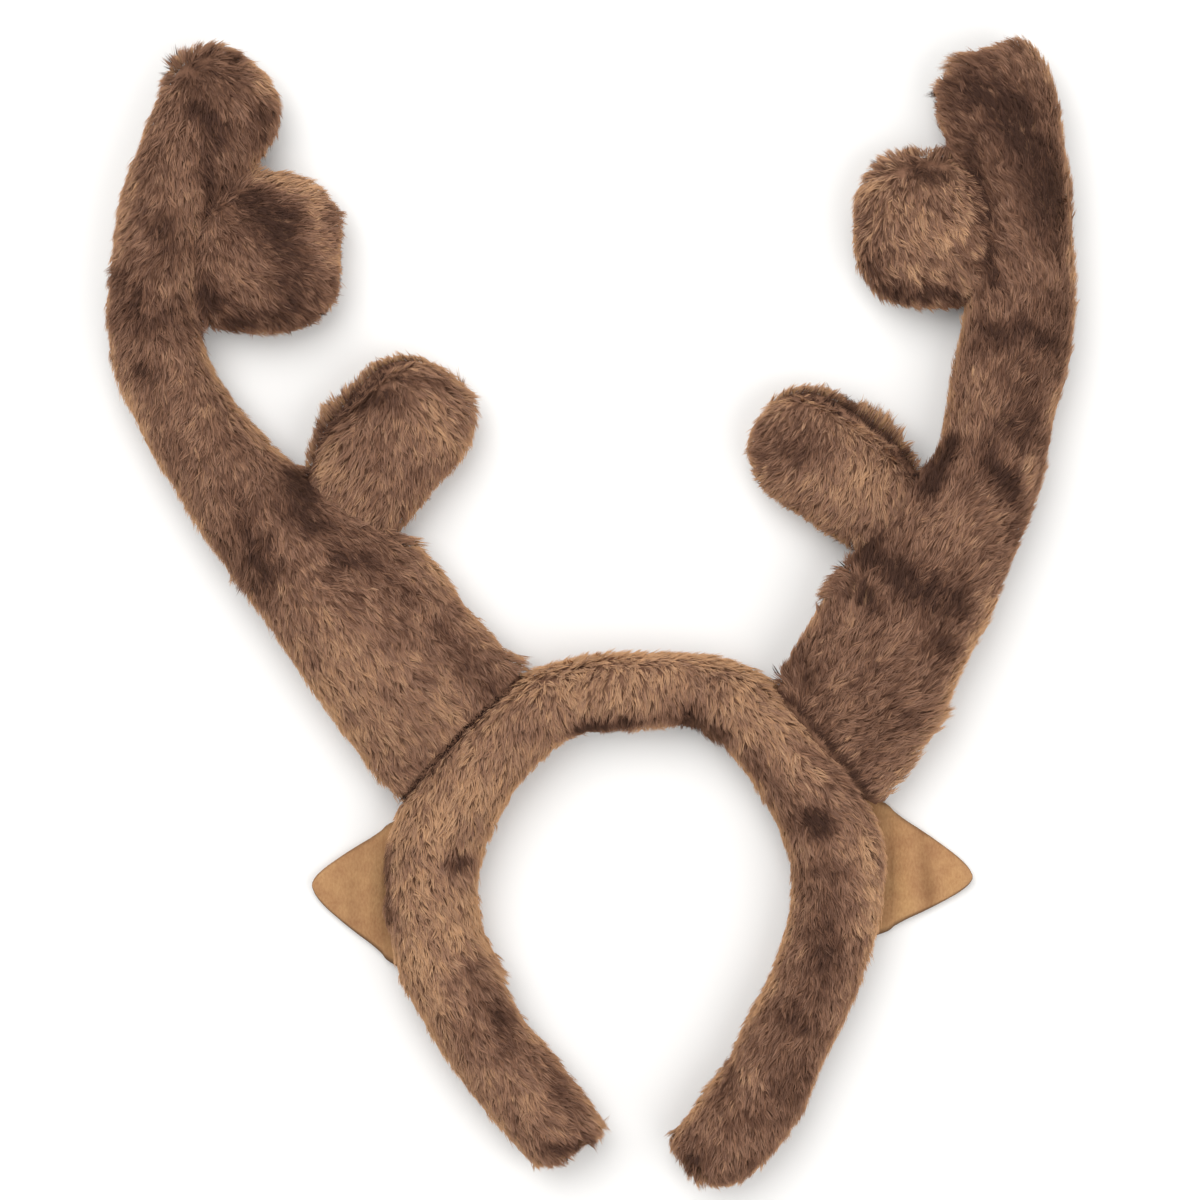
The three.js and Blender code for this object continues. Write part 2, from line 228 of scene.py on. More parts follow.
class Limb:
    """A stuffed tube along a smooth course, with a rounded end, and a rounded or a sewn start.

    rows hold x, y, width, depth and lift in millimetres. An end holds its reach, how far its middle is
    tucked back in, and how far its peak leans across, as a share of the width. relief(share, turn) is
    how far the cloth is drawn in, as a share of the radius. Along the limb, 0 to 1 is its course, and
    1 to 2 and 0 to -1 are its two ends, up to their peaks.
    """

    def __init__(self, name, rows, end, start=(0, 0, 0), relief=None, seed=1):
        self.name = name
        self.rows = np.asarray(rows, float)
        self.end = end
        self.start = start
        self.relief = relief or (lambda share, turn: 0)
        self.seed = seed
        share = np.linspace(0, 1, 400)
        place = spline(self.rows[:, :2], share)
        self.length = np.linalg.norm(np.diff(place, axis=0), axis=1).sum()
        # Millimetres over the skin at the places -1, 0, 1 and 2 along the limb
        round_end = 0.8 * (end[0] + self.rows[-1, 2] / 2)
        round_start = 0.8 * (start[0] + self.rows[0, 2] / 2)
        self.walk = np.array([-round_start, 0, self.length, self.length + round_end])

    def stations(self, share):
        """The course's place and heading there, and the section's width, depth and middle height."""
        step = 1e-4
        place = spline(self.rows[:, :2], share)
        ahead = spline(self.rows[:, :2], np.minimum(share + step, 1))
        behind = spline(self.rows[:, :2], np.maximum(share - step, 0))
        width, depth, lift = spline(self.rows[:, 2:], share).T
        return place, unit(ahead - behind), width, depth, depth / 2 + lift - REST_FLAT

    def surface(self, along, turn, inset=PILE_HEIGHT, lumps=LUMPS):
        """Points on the limb, inset from its outer form. turn is an angle from 90 degrees left of the
        heading, round over the front.

        A section is an ellipse, width and depth across, that stands on the table. At an end the section
        shrinks as cos(a)^END_FULLNESS while it moves forward by the reach times sin(a), and the tuck
        draws it back by (1 - size)^2. The stuffing's lumps swell a section by smooth noise.
        """
        share = np.clip(along, 0, 1)
        place, heading, width, depth, height = self.stations(share)
        past = np.clip(np.maximum(along - 1, -along), 0, 1) * (np.pi / 2)
        at_start = along < 0
        reach, tuck, lean = (np.where(at_start, a, b) for a, b in zip(self.start, self.end))
        size = np.maximum(np.cos(past), 0) ** END_FULLNESS
        forward = (reach - inset) * np.sin(past) - tuck * (1 - size) ** 2
        forward = np.where(at_start, -forward, forward)
        across = np.column_stack([-heading[:, 1], heading[:, 0]])
        middle = place + heading * forward[:, None] + across * (lean * width * (1 - size))[:, None]
        drawn_in = self.relief(share, turn)
        sideways, upwards = np.cos(turn), np.sin(turn)
        outline = middle + across * (sideways * width / 2)[:, None]
        spot = np.column_stack([outline, height + upwards * depth / 2])
        swell = lumps * soft_noise(spot, LUMP_CELL, self.seed) - inset
        half_width = (width / 2 + swell) * size * (1 - drawn_in)
        half_depth = (depth / 2 + swell) * size * (1 - drawn_in)
        flat = middle + across * (half_width * sideways)[:, None]
        return np.column_stack([flat, np.maximum(height + half_depth * upwards, inset * 0.3)])

    def moved_along(self, along, distance):
        """The places that lie some millimetres further along the limb."""
        steps = [-1, 0, 1, 2]
        return np.interp(np.interp(along, steps, self.walk) + distance, self.walk, steps)

    def frames(self, along, turn):
        """Points on the skin, their outward normals, and the skin's two tangents, along and round,
        as long as one unit of along or of turn is there."""
        step = 2e-3
        here = self.surface(along, turn)
        ahead = (self.surface(along + step, turn) - self.surface(along - step, turn)) / (2 * step)
        round_ = (self.surface(along, turn + step) - self.surface(along, turn - step)) / (2 * step)
        return here, unit(np.cross(round_, ahead)), ahead, round_

    def clearance(self, places):
        """Millimetres from each place to the limb's outer form, below 0 inside it. The nearest station
        of the course gives the section's ellipse, and the ellipse's level there gives the distance."""
        place, heading, width, depth, height = self.stations(np.linspace(0, 1, COURSE_STATIONS))
        at_start, at_end = np.maximum((self.start[0], self.end[0]), LEAST_REACHES)
        found = np.empty(len(places))
        for part in np.array_split(np.arange(len(places)), len(places) // CHUNK + 1):
            spots = places[part]
            nearest = ((spots[:, None, :2] - place[None]) ** 2).sum(2).argmin(1)
            away = spots[:, :2] - place[nearest]
            forward = (away * heading[nearest]).sum(1)
            sideways = away[:, 1] * heading[nearest, 0] - away[:, 0] * heading[nearest, 1]
            upwards = spots[:, 2] - height[nearest]
            reach = np.where(nearest == 0, at_start, at_end)
            level = np.sqrt(
                (sideways * 2 / width[nearest]) ** 2
                + (upwards * 2 / depth[nearest]) ** 2
                + (forward / reach) ** 2
            )
            far = np.sqrt(forward**2 + sideways**2 + upwards**2)
            found[part] = far * (1 - 1 / np.maximum(level, 1e-6))
        return found

    def start_line(self, carrier, inset=PILE_HEIGHT, deep=PILE_HEIGHT + 0.5):
        """Where each column of a surface of the limb comes out of what it is sewn to: columns' turns, and
        the place along the limb of each, from its last two steps inside and outside. deep is how far
        inside the carrier's outer form that is. A limb that nothing carries starts at its own peak."""
        turns = np.linspace(0, 2 * np.pi, JOINT_TURNS)
        if carrier is None:
            return turns, np.full(len(turns), -1.0)
        steps = np.linspace(0, JOINT_REACH, JOINT_STEPS)
        along, turn = (g.ravel() for g in np.meshgrid(steps, turns, indexing="ij"))
        gap = carrier.clearance(self.surface(along, turn, inset)).reshape(len(steps), -1) + deep
        inside = gap < 0
        last = np.where(inside.any(0), len(steps) - 1 - inside[::-1].argmax(0), 0)
        after = np.minimum(last + 1, len(steps) - 1)
        column = np.arange(len(turns))
        low, high = gap[last, column], gap[after, column]
        part = np.where(inside.any(0), low / np.minimum(low - high, -1e-3), 0)
        return turns, steps[last] + np.clip(part, 0, 1) * (steps[1] - steps[0])

    def seam_points(self, carrier):
        """The seam with the carrier, as places on the outer forms."""
        turns, along = self.start_line(carrier, inset=0, deep=0)
        return self.surface(along, turns, inset=0)


def seam_gap(points, other, places):
    """Millimetres from each place to the nearest of the seam's points, below 0 inside the other limb."""
    level = other.clearance(places)
    away = np.full(len(places), SEAM_FAR)
    near = np.flatnonzero(np.abs(level) < SEAM_NEAR)
    for part in np.array_split(near, len(near) // CHUNK + 1):
        square = ((places[part][:, None] - points[None]) ** 2).sum(2)
        away[part] = np.sqrt(square.min(1))
    return np.where(level < 0, -away, away)


# The limbs, from the tables of their sections

# out is the direction away from the head, seat the place along the band, and lean how far the stem's
# top leans outwards.
ANTLERS = {
    "left": dict(out=-1, seat=0.352, rise=235, flare=110, lean=0.14),
    "right": dict(out=1, seat=0.656, rise=246, flare=73, lean=0.26),
}
TINES = {
    "upper_tine_left": dict(root=0.797, angle=-1, length=62, width=55),
    "lower_tine_left": dict(root=0.43, angle=49.5, length=77, width=45),
    "upper_tine_right": dict(root=0.795, angle=0, length=58, width=52.5),
    "lower_tine_right": dict(root=0.418, angle=33, length=75.5, width=42),
}
# The last two values of an ear: how strongly the painted light and shade of its fold show, and how dark the
# painted shade beside the band is.
EARS = {
    "left": dict(out=-1, seat=0.236, length=40, above=19.5, below=26, sag=1, fold_shaded=0.25, shaded=0.9),
    "right": dict(out=1, seat=0.735, length=45, above=23, below=19.4, sag=2, fold_shaded=1, shaded=0.3),
}

# The band, from the left tip over the crown to the right tip.
# Columns: across, a share of half the span; drop, of the rise; width; depth.
BAND_ROWS = [
    (-0.36, 0.958, 0.92, 0.92),
    (-0.578, 0.839, 0.97, 0.97),
    (-0.731, 0.753, 0.96, 0.98),
    (-0.849, 0.667, 0.97, 1.0),
    (-0.938, 0.581, 1.03, 1.0),
    (-0.988, 0.495, 1.05, 1.0),
    (-1.0, 0.409, 1.05, 1.0),
    (-0.96, 0.318, 1.06, 1.0),
    (-0.859, 0.219, 1.05, 1.0),
    (-0.7, 0.129, 0.97, 1.0),
    (-0.469, 0.047, 0.9, 0.98),
    (-0.198, 0.009, 0.88, 0.97),
    (0.044, 0.0, 0.87, 0.97),
    (0.291, 0.0, 0.82, 0.97),
    (0.5, 0.03, 0.86, 0.98),
    (0.655, 0.095, 0.92, 1.0),
    (0.79, 0.168, 0.98, 1.02),
    (0.93, 0.263, 1.03, 1.02),
    (0.998, 0.36, 1.04, 1.01),
    (1.0, 0.452, 1.02, 1.0),
    (0.953, 0.538, 0.98, 1.0),
    (0.869, 0.645, 0.97, 1.0),
    (0.741, 0.753, 0.99, 1.0),
    (0.622, 0.86, 1.03, 1.02),
    (0.485, 0.938, 1.03, 1.02),
    (0.355, 1.0, 0.97, 0.97),
]

# Hollows pressed into the band.
# Columns: place along it; turn, in degrees; how deep, a share of the radius; how long; how broad, in degrees.
BAND_DENTS = [
    (0.26, 112, 0.1, 0.022, 26),
    (0.436, 130, 0.1, 0.02, 30),
    (0.53, 158, 0.12, 0.018, 34),
    (0.62, 104, 0.06, 0.014, 40),
    (0.684, 95, 0.1, 0.022, 28),
    (0.9, 70, 0.05, 0.02, 30),
]

# The stems, from inside the band to the top.
# Columns: away, a share of the flare; up, of the rise; width; depth; lift, of the depth.
STEM_ROWS = {
    "left": [
        (0.018, -0.013, 1.6, 0.5, 0.24),
        (0.084, 0.031, 1.82, 0.6, 0.19),
        (0.162, 0.08, 1.83, 1, 0),
        (0.249, 0.131, 1.81, 1.12, 0),
        (0.345, 0.19, 1.78, 1.12, 0),
        (0.45, 0.242, 1.61, 1.08, 0),
        (0.565, 0.294, 1.4, 1.04, 0),
        (0.694, 0.353, 1.19, 1, 0),
        (0.823, 0.428, 1.04, 0.97, 0),
        (0.949, 0.526, 0.97, 0.95, 0),
        (1, 0.618, 0.94, 0.95, 0),
        (0.988, 0.702, 0.92, 0.95, 0),
        (0.958, 0.779, 0.94, 0.96, 0),
        (0.868, 0.852, 1.14, 1, 0),
        (0.793, 0.912, 1.25, 1, 0),
    ],
    "right": [
        (0.045, 0.013, 1.5, 0.5, 0.24),
        (0.131, 0.063, 1.64, 0.62, 0.18),
        (0.226, 0.112, 1.62, 1, 0),
        (0.33, 0.169, 1.6, 1.1, 0),
        (0.439, 0.226, 1.55, 1.1, 0),
        (0.548, 0.279, 1.5, 1.07, 0),
        (0.67, 0.341, 1.34, 1.03, 0),
        (0.796, 0.405, 1.14, 1, 0),
        (0.878, 0.499, 1.12, 0.98, 0),
        (0.941, 0.592, 1.15, 0.97, 0),
        (0.982, 0.672, 1.07, 0.96, 0),
        (0.991, 0.739, 0.99, 0.96, 0),
        (0.973, 0.806, 1, 0.97, 0),
        (0.896, 0.868, 1.2, 1, 0),
        (0.855, 0.914, 1.26, 1, 0),
    ],
}

# The tines, from inside the stem. Columns: along, a share of the length; sag, of the width; width;
# depth; lift, of the depth.
TINE_ROWS = {
    "upper": [
        (0.2, 0, 0.84, 0.5, 0.26),
        (0.33, 0.01, 0.95, 0.8, 0.1),
        (0.47, 0.01, 1, 0.97, 0),
        (0.62, 0.01, 1, 1, 0),
    ],
    "lower": [
        (0.217, 0.08, 0.76, 0.5, 0.28),
        (0.333, 0.07, 0.88, 0.8, 0.1),
        (0.52, 0.03, 1, 1, 0),
        (0.73, 0.02, 0.98, 1, 0),
    ],
}

# The ears' outline. Columns: along, a share of the length; spread, of the half widths; fold, of the
# fold's height.
EAR_ROWS = [
    (0, 1.3, 0.2),
    (0.34, 1.03, 0.3),
    (0.43, 0.89, 0.75),
    (0.51, 0.78, 1),
    (0.62, 0.65, 0.45),
    (0.74, 0.5, 0.3),
    (0.91, 0.26, 0.5),
    (0.975, 0.13, 0.55),
    (1, 0.04, 0.55),
]

# Which way the pile lies, seen from the front. Columns: place along the limb; angle in degrees, where
# 0 points right and 90 to the antlers' tops.
COMBS = {
    "headband": [(-1, -40), (0.1, -56), (0.24, -80), (0.35, -118), (0.45, -88), (0.55, -62), (0.66, -48),
                 (0.76, -88), (0.9, -98), (2, -112)],
    "antler_left": [(0, -62), (0.35, -58), (0.5, -70), (0.68, -90), (0.9, -92), (1.1, -66), (1.5, -25),
                    (2, 5)],
    "antler_right": [(0, 48), (0.4, 52), (0.55, 60), (0.75, 98), (1, 130), (2, 155)],
    "upper_tine_left": [(0, -50), (1, -28), (2, 0)],
    "lower_tine_left": [(0, -112), (1, -82), (2, -50)],
    "upper_tine_right": [(0, -52), (1, -62), (2, -105)],
    "lower_tine_right": [(0, -118), (1, -128), (2, -150)],
}

# How much further that turns on one side of a limb than in its middle, in degrees
FANS = {"antler_left": -18, "upper_tine_left": 30, "upper_tine_right": 16}

# How strongly the pile shows as strands, lighter and darker
STRANDS = {"upper_tine_right": 0.42, "upper_tine_left": 0.16}
PLAIN_STRANDS = 0.12

# How light the pile is along each limb. Columns: place along it, tone from 0 to 1.
BASE_TONES = {
    "headband": [(-1, 0.6), (0.08, 0.62), (0.2, 0.76), (0.5, 0.76), (0.6, 0.72), (0.7, 0.58), (1, 0.55),
                 (2, 0.55)],
    "antler_left": [(0, 0.64), (0.3, 0.6), (0.42, 0.5), (0.55, 0.55), (0.7, 0.46), (2, 0.44)],
    "antler_right": [(0, 0.5), (0.3, 0.48), (0.5, 0.46), (0.7, 0.45), (0.85, 0.41), (2, 0.44)],
    "upper_tine_left": [(0, 0.42), (2, 0.46)],
    "lower_tine_left": [(0, 0.6), (2, 0.6)],
    "upper_tine_right": [(0, 0.55), (2, 0.54)],
    "lower_tine_right": [(0, 0.62), (2, 0.52)],
}

# Patches of painted light and shade in the pile's tone: where the pile stands or lies so that it looks
# darker or lighter, painted rim light along outer edges, and painted shade under the crown's lower edge
# and beside the left ear. Each runs from one place of the photograph to another. Columns: across, down;
# across, down; size, in its pixels; tone.
LIGHT_AND_SHADE_PATCHES = {
    "headband": [
        (580, 728, 625, 721, 9, -0.75),
        (640, 718, 670, 714, 8, -0.3),
        (630, 690, 685, 702, 14, -0.12),
        (387, 848, 389, 948, 6, -0.8),
        (688, 722, 716, 742, 13, -0.85),
        (752, 758, 782, 792, 12, -0.3),
        (813, 816, 818, 820, 15, -0.7),
        (775, 800, 800, 835, 10, -0.2),
        (790, 740, 850, 790, 6, -0.25),
        (828, 870, 824, 940, 17, -0.3),
        (815, 960, 815, 990, 14, -0.3),
        (780, 1015, 790, 1015, 16, -0.3),
        (800, 1050, 770, 1115, 20, -0.18),
        (745, 1160, 690, 1160, 15, -0.12),
        (730, 1070, 718, 1100, 8, -0.2),
        (455, 862, 460, 862, 13, -0.5),
        (470, 960, 475, 985, 14, -0.3),
        (492, 1005, 515, 1045, 15, -0.35),
        (530, 1065, 575, 1110, 15, -0.2),
        (548, 1146, 585, 1142, 8, -0.5),
        (690, 1156, 694, 1158, 7, -0.45),
        (465, 1040, 472, 1055, 8, -0.2),
        (415, 775, 430, 760, 14, -0.2),
        (740, 680, 738, 700, 15, 0.15),
        (755, 715, 790, 745, 10, 0.05),
        (430, 820, 480, 790, 16, 0.12),
        (420, 960, 450, 1050, 12, 0.15),
        (470, 900, 465, 930, 12, 0.15),
        (862, 830, 872, 930, 9, 0.3),
    ],
    "antler_left": [
        (200, 75, 235, 75, 22, -0.3),
        (205, 115, 215, 140, 17, -0.4),
        (265, 118, 260, 140, 12, -0.25),
        (210, 160, 208, 300, 7, -0.35),
        (165, 230, 168, 265, 14, -0.3),
        (130, 310, 150, 325, 22, -0.25),
        (125, 280, 150, 292, 15, -0.2),
        (178, 315, 190, 330, 14, -0.2),
        (145, 372, 155, 378, 12, -0.3),
        (215, 470, 235, 490, 14, -0.15),
        (250, 525, 268, 575, 18, -0.25),
        (190, 540, 240, 610, 9, 0.3),
        (295, 475, 305, 490, 12, -0.65),
        (300, 510, 330, 535, 22, -0.3),
        (340, 560, 365, 562, 12, -0.35),
        (385, 580, 410, 600, 16, -0.2),
        (440, 625, 490, 690, 15, -0.25),
        (340, 590, 400, 635, 20, -0.12),
        (320, 640, 390, 730, 32, 0.1),
        (128, 395, 190, 540, 11, 0.3),
        (210, 590, 375, 785, 14, 0.32),
        (253, 70, 262, 95, 12, 0.3),
        (135, 180, 125, 250, 7, 0.2),
    ],
    "antler_right": [
        (970, 92, 1005, 115, 21, -0.35),
        (1015, 130, 1045, 210, 24, -0.4),
        (968, 145, 985, 215, 8, -0.3),
        (985, 220, 992, 285, 7, -0.3),
        (1030, 335, 1050, 345, 13, -0.3),
        (985, 330, 1000, 340, 12, -0.2),
        (1000, 345, 1030, 400, 20, -0.12),
        (1005, 428, 1035, 440, 17, -0.42),
        (985, 465, 1005, 485, 15, -0.4),
        (950, 445, 928, 490, 9, -0.6),
        (870, 555, 900, 570, 18, -0.35),
        (905, 590, 950, 600, 22, -0.4),
        (862, 590, 868, 610, 10, -0.35),
        (930, 640, 945, 650, 12, -0.3),
        (795, 650, 805, 690, 14, -0.25),
        (905, 715, 918, 730, 12, -0.15),
        (965, 515, 985, 515, 14, 0.12),
        (915, 510, 935, 520, 12, 0.05),
        (975, 385, 990, 410, 12, 0.15),
        (1050, 395, 1025, 480, 8, 0.3),
        (985, 600, 970, 640, 9, 0.35),
        (970, 650, 895, 785, 13, 0.32),
        (1035, 50, 1040, 80, 12, 0.2),
        (1060, 120, 1068, 280, 5, 0.2),
    ],
    "upper_tine_left": [
        (250, 205, 275, 222, 19, -0.45),
        (284, 230, 292, 300, 14, -0.32),
        (255, 285, 262, 292, 12, -0.1),
        (205, 290, 215, 305, 12, -0.4),
        (235, 318, 275, 318, 12, -0.35),
        (315, 205, 330, 260, 11, 0.2),
        (250, 172, 312, 190, 12, 0.55),
    ],
    "lower_tine_left": [
        (330, 430, 368, 402, 10, -0.35),
        (380, 395, 410, 408, 13, -0.25),
        (385, 378, 445, 386, 5, -0.3),
        (300, 475, 306, 488, 10, -0.6),
        (312, 440, 322, 425, 10, -0.3),
        (430, 415, 460, 450, 18, 0.2),
        (345, 372, 405, 355, 7, 0.25),
        (325, 470, 335, 460, 10, 0.2),
    ],
    "upper_tine_right": [
        (915, 172, 935, 176, 12, -0.35),
        (868, 268, 885, 285, 12, -0.35),
        (900, 294, 950, 294, 9, -0.35),
        (962, 180, 982, 215, 8, -0.3),
        (985, 230, 985, 290, 8, -0.35),
        (925, 225, 965, 245, 12, 0.2),
        (870, 190, 890, 180, 12, 0.2),
    ],
    "lower_tine_right": [
        (780, 450, 825, 452, 17, -0.3),
        (825, 402, 850, 406, 8, -0.4),
        (850, 408, 905, 452, 5, -0.35),
        (905, 460, 925, 490, 8, -0.3),
        (850, 470, 880, 500, 18, 0.15),
        (868, 398, 925, 450, 8, 0.35),
    ],
}

# Tufts that stand out from the pile, and places where it is short. Columns: across, down and size in the
# photograph's pixels; how much longer; which way they point, in degrees.
TUFTS = {
    "headband": [
        (600, 1132, 14, 0.8, -15),
        (592, 1150, 12, 1.0, -35),
        (398, 975, 10, 0.3, -160),
        (650, 648, 40, -0.3, -70),
        (580, 735, 26, -0.3, -40),
        (539, 1166, 12, -0.35, -60),
        (690, 1176, 14, 1.2, -105),
        (722, 1188, 18, -0.6, -60),
        (702, 728, 14, 0.5, -90),
        (384, 880, 14, -0.4, -80),
        (386, 930, 14, -0.4, -80),
        (500, 955, 24, 0.7, -25),
        (722, 1040, 30, -0.35, -75),
        (688, 1108, 22, -0.5, -75),
    ],
    "antler_left": [
        (276, 68, 12, 0.4, 40),
        (168, 82, 12, 0.05, 160),
        (180, 70, 9, 0.6, 138),
        (190, 60, 11, 0.0, 112),
        (206, 52, 12, 0.0, 75),
        (515, 655, 14, 1.2, 30),
        (408, 535, 14, 0.9, 30),
        (465, 596, 18, -0.5, 0),
        (130, 425, 26, -0.35, -100),
        (236, 580, 20, 0.35, -150),
    ],
    "antler_right": [
        (970, 66, 11, 0.75, 165),
        (953, 92, 8, 0.5, 172),
        (940, 112, 12, -0.2, 185),
        (838, 580, 22, 0.6, -160),
        (785, 690, 10, 0.4, 200),
        (1055, 430, 30, -0.3, 70),
        (935, 725, 22, 0.5, -5),
    ],
    "upper_tine_left": [(335, 215, 9, 0.4, 20), (342, 252, 30, -0.4, 0), (300, 330, 20, -0.25, -60)],
    "lower_tine_left": [(466, 392, 16, 0.35, 25), (325, 410, 24, 0.6, 140), (400, 350, 16, -0.2, 100),
                        (442, 495, 24, -0.4, -40)],
    "upper_tine_right": [(870, 296, 14, 0.2, -120), (855, 225, 20, -0.3, 180), (885, 164, 15, 0.2, 125),
                         (910, 158, 14, 0.15, 100), (938, 155, 14, 0.1, 80)],
    "lower_tine_right": [(884, 415, 28, 0.7, 60), (800, 525, 30, -0.4, -130), (760, 460, 20, -0.2, 180)],
}

# The antlers' seams with the band: how much is bare on each side, and how dark the painted shade in it is
SEAMS = {"antler_left": (0.42, 1), "antler_right": (0.3, 0.7)}

# Which way the pile lies beyond the seam of a lower tine
RIM_COMBS = {"lower_tine_left": 125, "lower_tine_right": 55}


def band_relief(share, turn):
    """The dents, each a bell in the place along the band and in the angle round it."""
    total = np.zeros(len(share))
    for place, centre, deep, long, broad in BAND_DENTS:
        off = np.abs((np.degrees(turn) - centre + 540) % 360 - 180)
        total += deep * np.exp(-(((share - place) / long) ** 2) - (off / broad) ** 2)
    return total


def seam_turn(name, turn=TINE_SEAM_TURN):
    """The angle round a lower tine at which its seam runs, which is on the side of the antler's top."""
    return turn if name.endswith("left") else 180 - turn


def tine_relief(name):
    """The groove of the seam along a lower tine: a bell in the angle round it."""

    def relief(share, turn):
        off = np.abs((np.degrees(turn) - seam_turn(name) + 540) % 360 - 180)
        return SEAM_GROOVE / (LOWER_TINE_DEPTH / 2) * np.exp(-((off / TINE_SEAM_BROAD) ** 2))

    return relief


def make_limbs():
    """Every limb by its node's name, in the band's own frame, with its origin at the crown."""
    limbs = {}
    across, drop, width, depth = np.array(BAND_ROWS).T
    rows = [across * BAND_SPAN / 2, -drop * BAND_RISE, width * BAND_WIDTH, depth * BAND_DEPTH, 0 * depth]
    tip = (BAND_TIP, TIP_TUCK, 0)
    band = Limb("headband", np.column_stack(rows), tip, start=tip, relief=band_relief, seed=3)
    band.carrier = None
    limbs["headband"] = band
    for side, antler in ANTLERS.items():
        out = antler["out"]
        seat = spline(band.rows[:, :2], np.array([antler["seat"]]))[0]
        away, up, width, depth, lift = np.array(STEM_ROWS[side]).T
        rows = [
            seat[0] + out * away * antler["flare"],
            seat[1] + up * antler["rise"],
            width * STEM_WIDTH,
            depth * STEM_DEPTH,
            lift * STEM_DEPTH,
        ]
        end = (STEM_TIP, 0, -out * antler["lean"])
        stem = Limb(f"antler_{side}", np.column_stack(rows), end, seed=5 + out)
        stem.carrier = band
        limbs[stem.name] = stem
        for kind, tine_depth in (("upper", UPPER_TINE_DEPTH), ("lower", LOWER_TINE_DEPTH)):
            name = f"{kind}_tine_{side}"
            tine = TINES[name]
            root = spline(stem.rows[:, :2], np.array([tine["root"]]))[0]
            angle = np.radians(tine["angle"] if out < 0 else 180 - tine["angle"])
            along, sag, width, depth, lift = np.array(TINE_ROWS[kind]).T
            ahead, beside = along * tine["length"], out * sag * tine["width"]
            rows = [
                root[0] + ahead * np.cos(angle) - beside * np.sin(angle),
                root[1] + ahead * np.sin(angle) + beside * np.cos(angle),
                width * tine["width"],
                depth * tine_depth,
                lift * tine_depth,
            ]
            end = ((1 - along[-1]) * tine["length"], 0, 0)
            relief = tine_relief(name) if kind == "lower" else None
            limb = Limb(name, np.column_stack(rows), end, relief=relief, seed=11 + out)
            limb.carrier = stem
            limbs[name] = limb
    return limbs


# Meshes


def mesh_object(name, places, faces, material):
    """An object at the origin, in metres in the row's frame, from places in the band's frame."""
    mesh = bpy.data.meshes.new(name)
    faces = np.asarray(faces, np.int32)
    corners = faces.shape[1]
    mesh.vertices.add(len(places))
    mesh.vertices.foreach_set("co", ((places + shift) * MM).astype(np.float32).ravel())
    mesh.loops.add(faces.size)
    mesh.loops.foreach_set("vertex_index", faces.ravel())
    mesh.polygons.add(len(faces))
    mesh.polygons.foreach_set("loop_start", np.arange(0, faces.size, corners, dtype=np.int32))
    mesh.update(calc_edges=True)
    mesh.validate()
    mesh.polygons.foreach_set("use_smooth", np.full(len(mesh.polygons), True))
    mesh.materials.append(material)
    piece = bpy.data.objects.new(name, mesh)
    bpy.context.scene.collection.objects.link(piece)
    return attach(piece, "root")


def tube_faces(rows, columns):
    """Triangles of a closed tube of rows by columns places, with a hub at each end: the first hub is
    the last place but one, and the last hub the last. The columns go round the way of the turn."""
    row, column = (g.ravel() for g in np.meshgrid(np.arange(rows - 1), np.arange(columns), indexing="ij"))
    beside = (column + 1) % columns
    a, b = row * columns + column, row * columns + beside
    c, d = a + columns, b + columns
    around = np.arange(columns)
    after = (around + 1) % columns
    first, last = rows * columns, rows * columns + 1
    top = (rows - 1) * columns
    return np.concatenate([
        np.column_stack([a, b, c]),
        np.column_stack([b, d, c]),
        np.column_stack([after, around, np.full(columns, first)]),
        np.column_stack([top + around, top + after, np.full(columns, last)]),
    ])


def skin_of(limb):
    """The limb's cloth: a grid of places from where it comes out of its carrier to its peak."""
    turns = np.linspace(0, 2 * np.pi, SKIN_COLUMNS, endpoint=False)
    start = np.interp(turns, *limb.start_line(limb.carrier))
    rows = int((limb.length + END_ALLOWANCE) / SKIN_STEP)
    share = np.linspace(0, 1, rows)[:, None]
    low = np.maximum(start, -SKIN_PEAK + 1)[None]
    along = low + (SKIN_PEAK - low) * share
    places = limb.surface(along.ravel(), np.tile(turns, rows))
    hubs = places.reshape(rows, SKIN_COLUMNS, 3)[[0, -1]].mean(1)
    return np.vstack([places, hubs]), tube_faces(rows, SKIN_COLUMNS)


def scatter(limb, rng):
    """Places along and round the limb, spread evenly over its skin, fewer where it lies on the table.

    Cells of a fine grid are drawn by their area, and a place is drawn inside its cell.
    """
    low = -LAST_LOCK if limb.carrier is None else 0
    alongs = np.linspace(low, 1 + LAST_LOCK, int((limb.length + END_ALLOWANCE) / GRID_STEP))
    turns = np.linspace(0, 2 * np.pi, GRID_TURNS)
    along, turn = (g.ravel() for g in np.meshgrid(alongs, turns, indexing="ij"))
    grid = limb.surface(along, turn).reshape(len(alongs), len(turns), 3)
    ahead, beside = grid[1:, 1:] - grid[:-1, :-1], grid[1:, :-1] - grid[:-1, 1:]
    facing = np.cross(beside, ahead)
    area = np.linalg.norm(facing, axis=2) / 2
    lying = (facing[..., 2] < -2 * FLOOR_SLOPE * area) & (grid[1:, 1:, 2] < FLOOR_HEIGHT)
    weight = area * np.where(lying, FLOOR_SHARE, 1)
    if limb.carrier is not None:
        lines = limb.start_line(limb.carrier)
        weight *= alongs[:-1, None] >= np.interp(turns[:-1], *lines)[None] - 0.02
    count = int(weight.sum() * BLADES_PER_MM2 * THINNING / BLADES_IN_LOCK)
    running = np.cumsum(weight.ravel())
    drawn = (np.arange(count) + rng.random(count)) / count * running[-1]
    cell = np.minimum(np.searchsorted(running, drawn), running.size - 1)
    row, column = np.divmod(cell, len(turns) - 1)
    along = alongs[row] + rng.random(count) * (alongs[1] - alongs[0])
    turn = turns[column] + rng.random(count) * (turns[1] - turns[0])
    return along, turn


def photo_place(across, down):
    """The place in the band's frame that a place of the photograph shows."""
    middle = PHOTO_PIXELS / 2
    return np.array([across - middle, middle - down]) * MM_PER_PIXEL + VIEW_AIM[:2] - shift[:2]


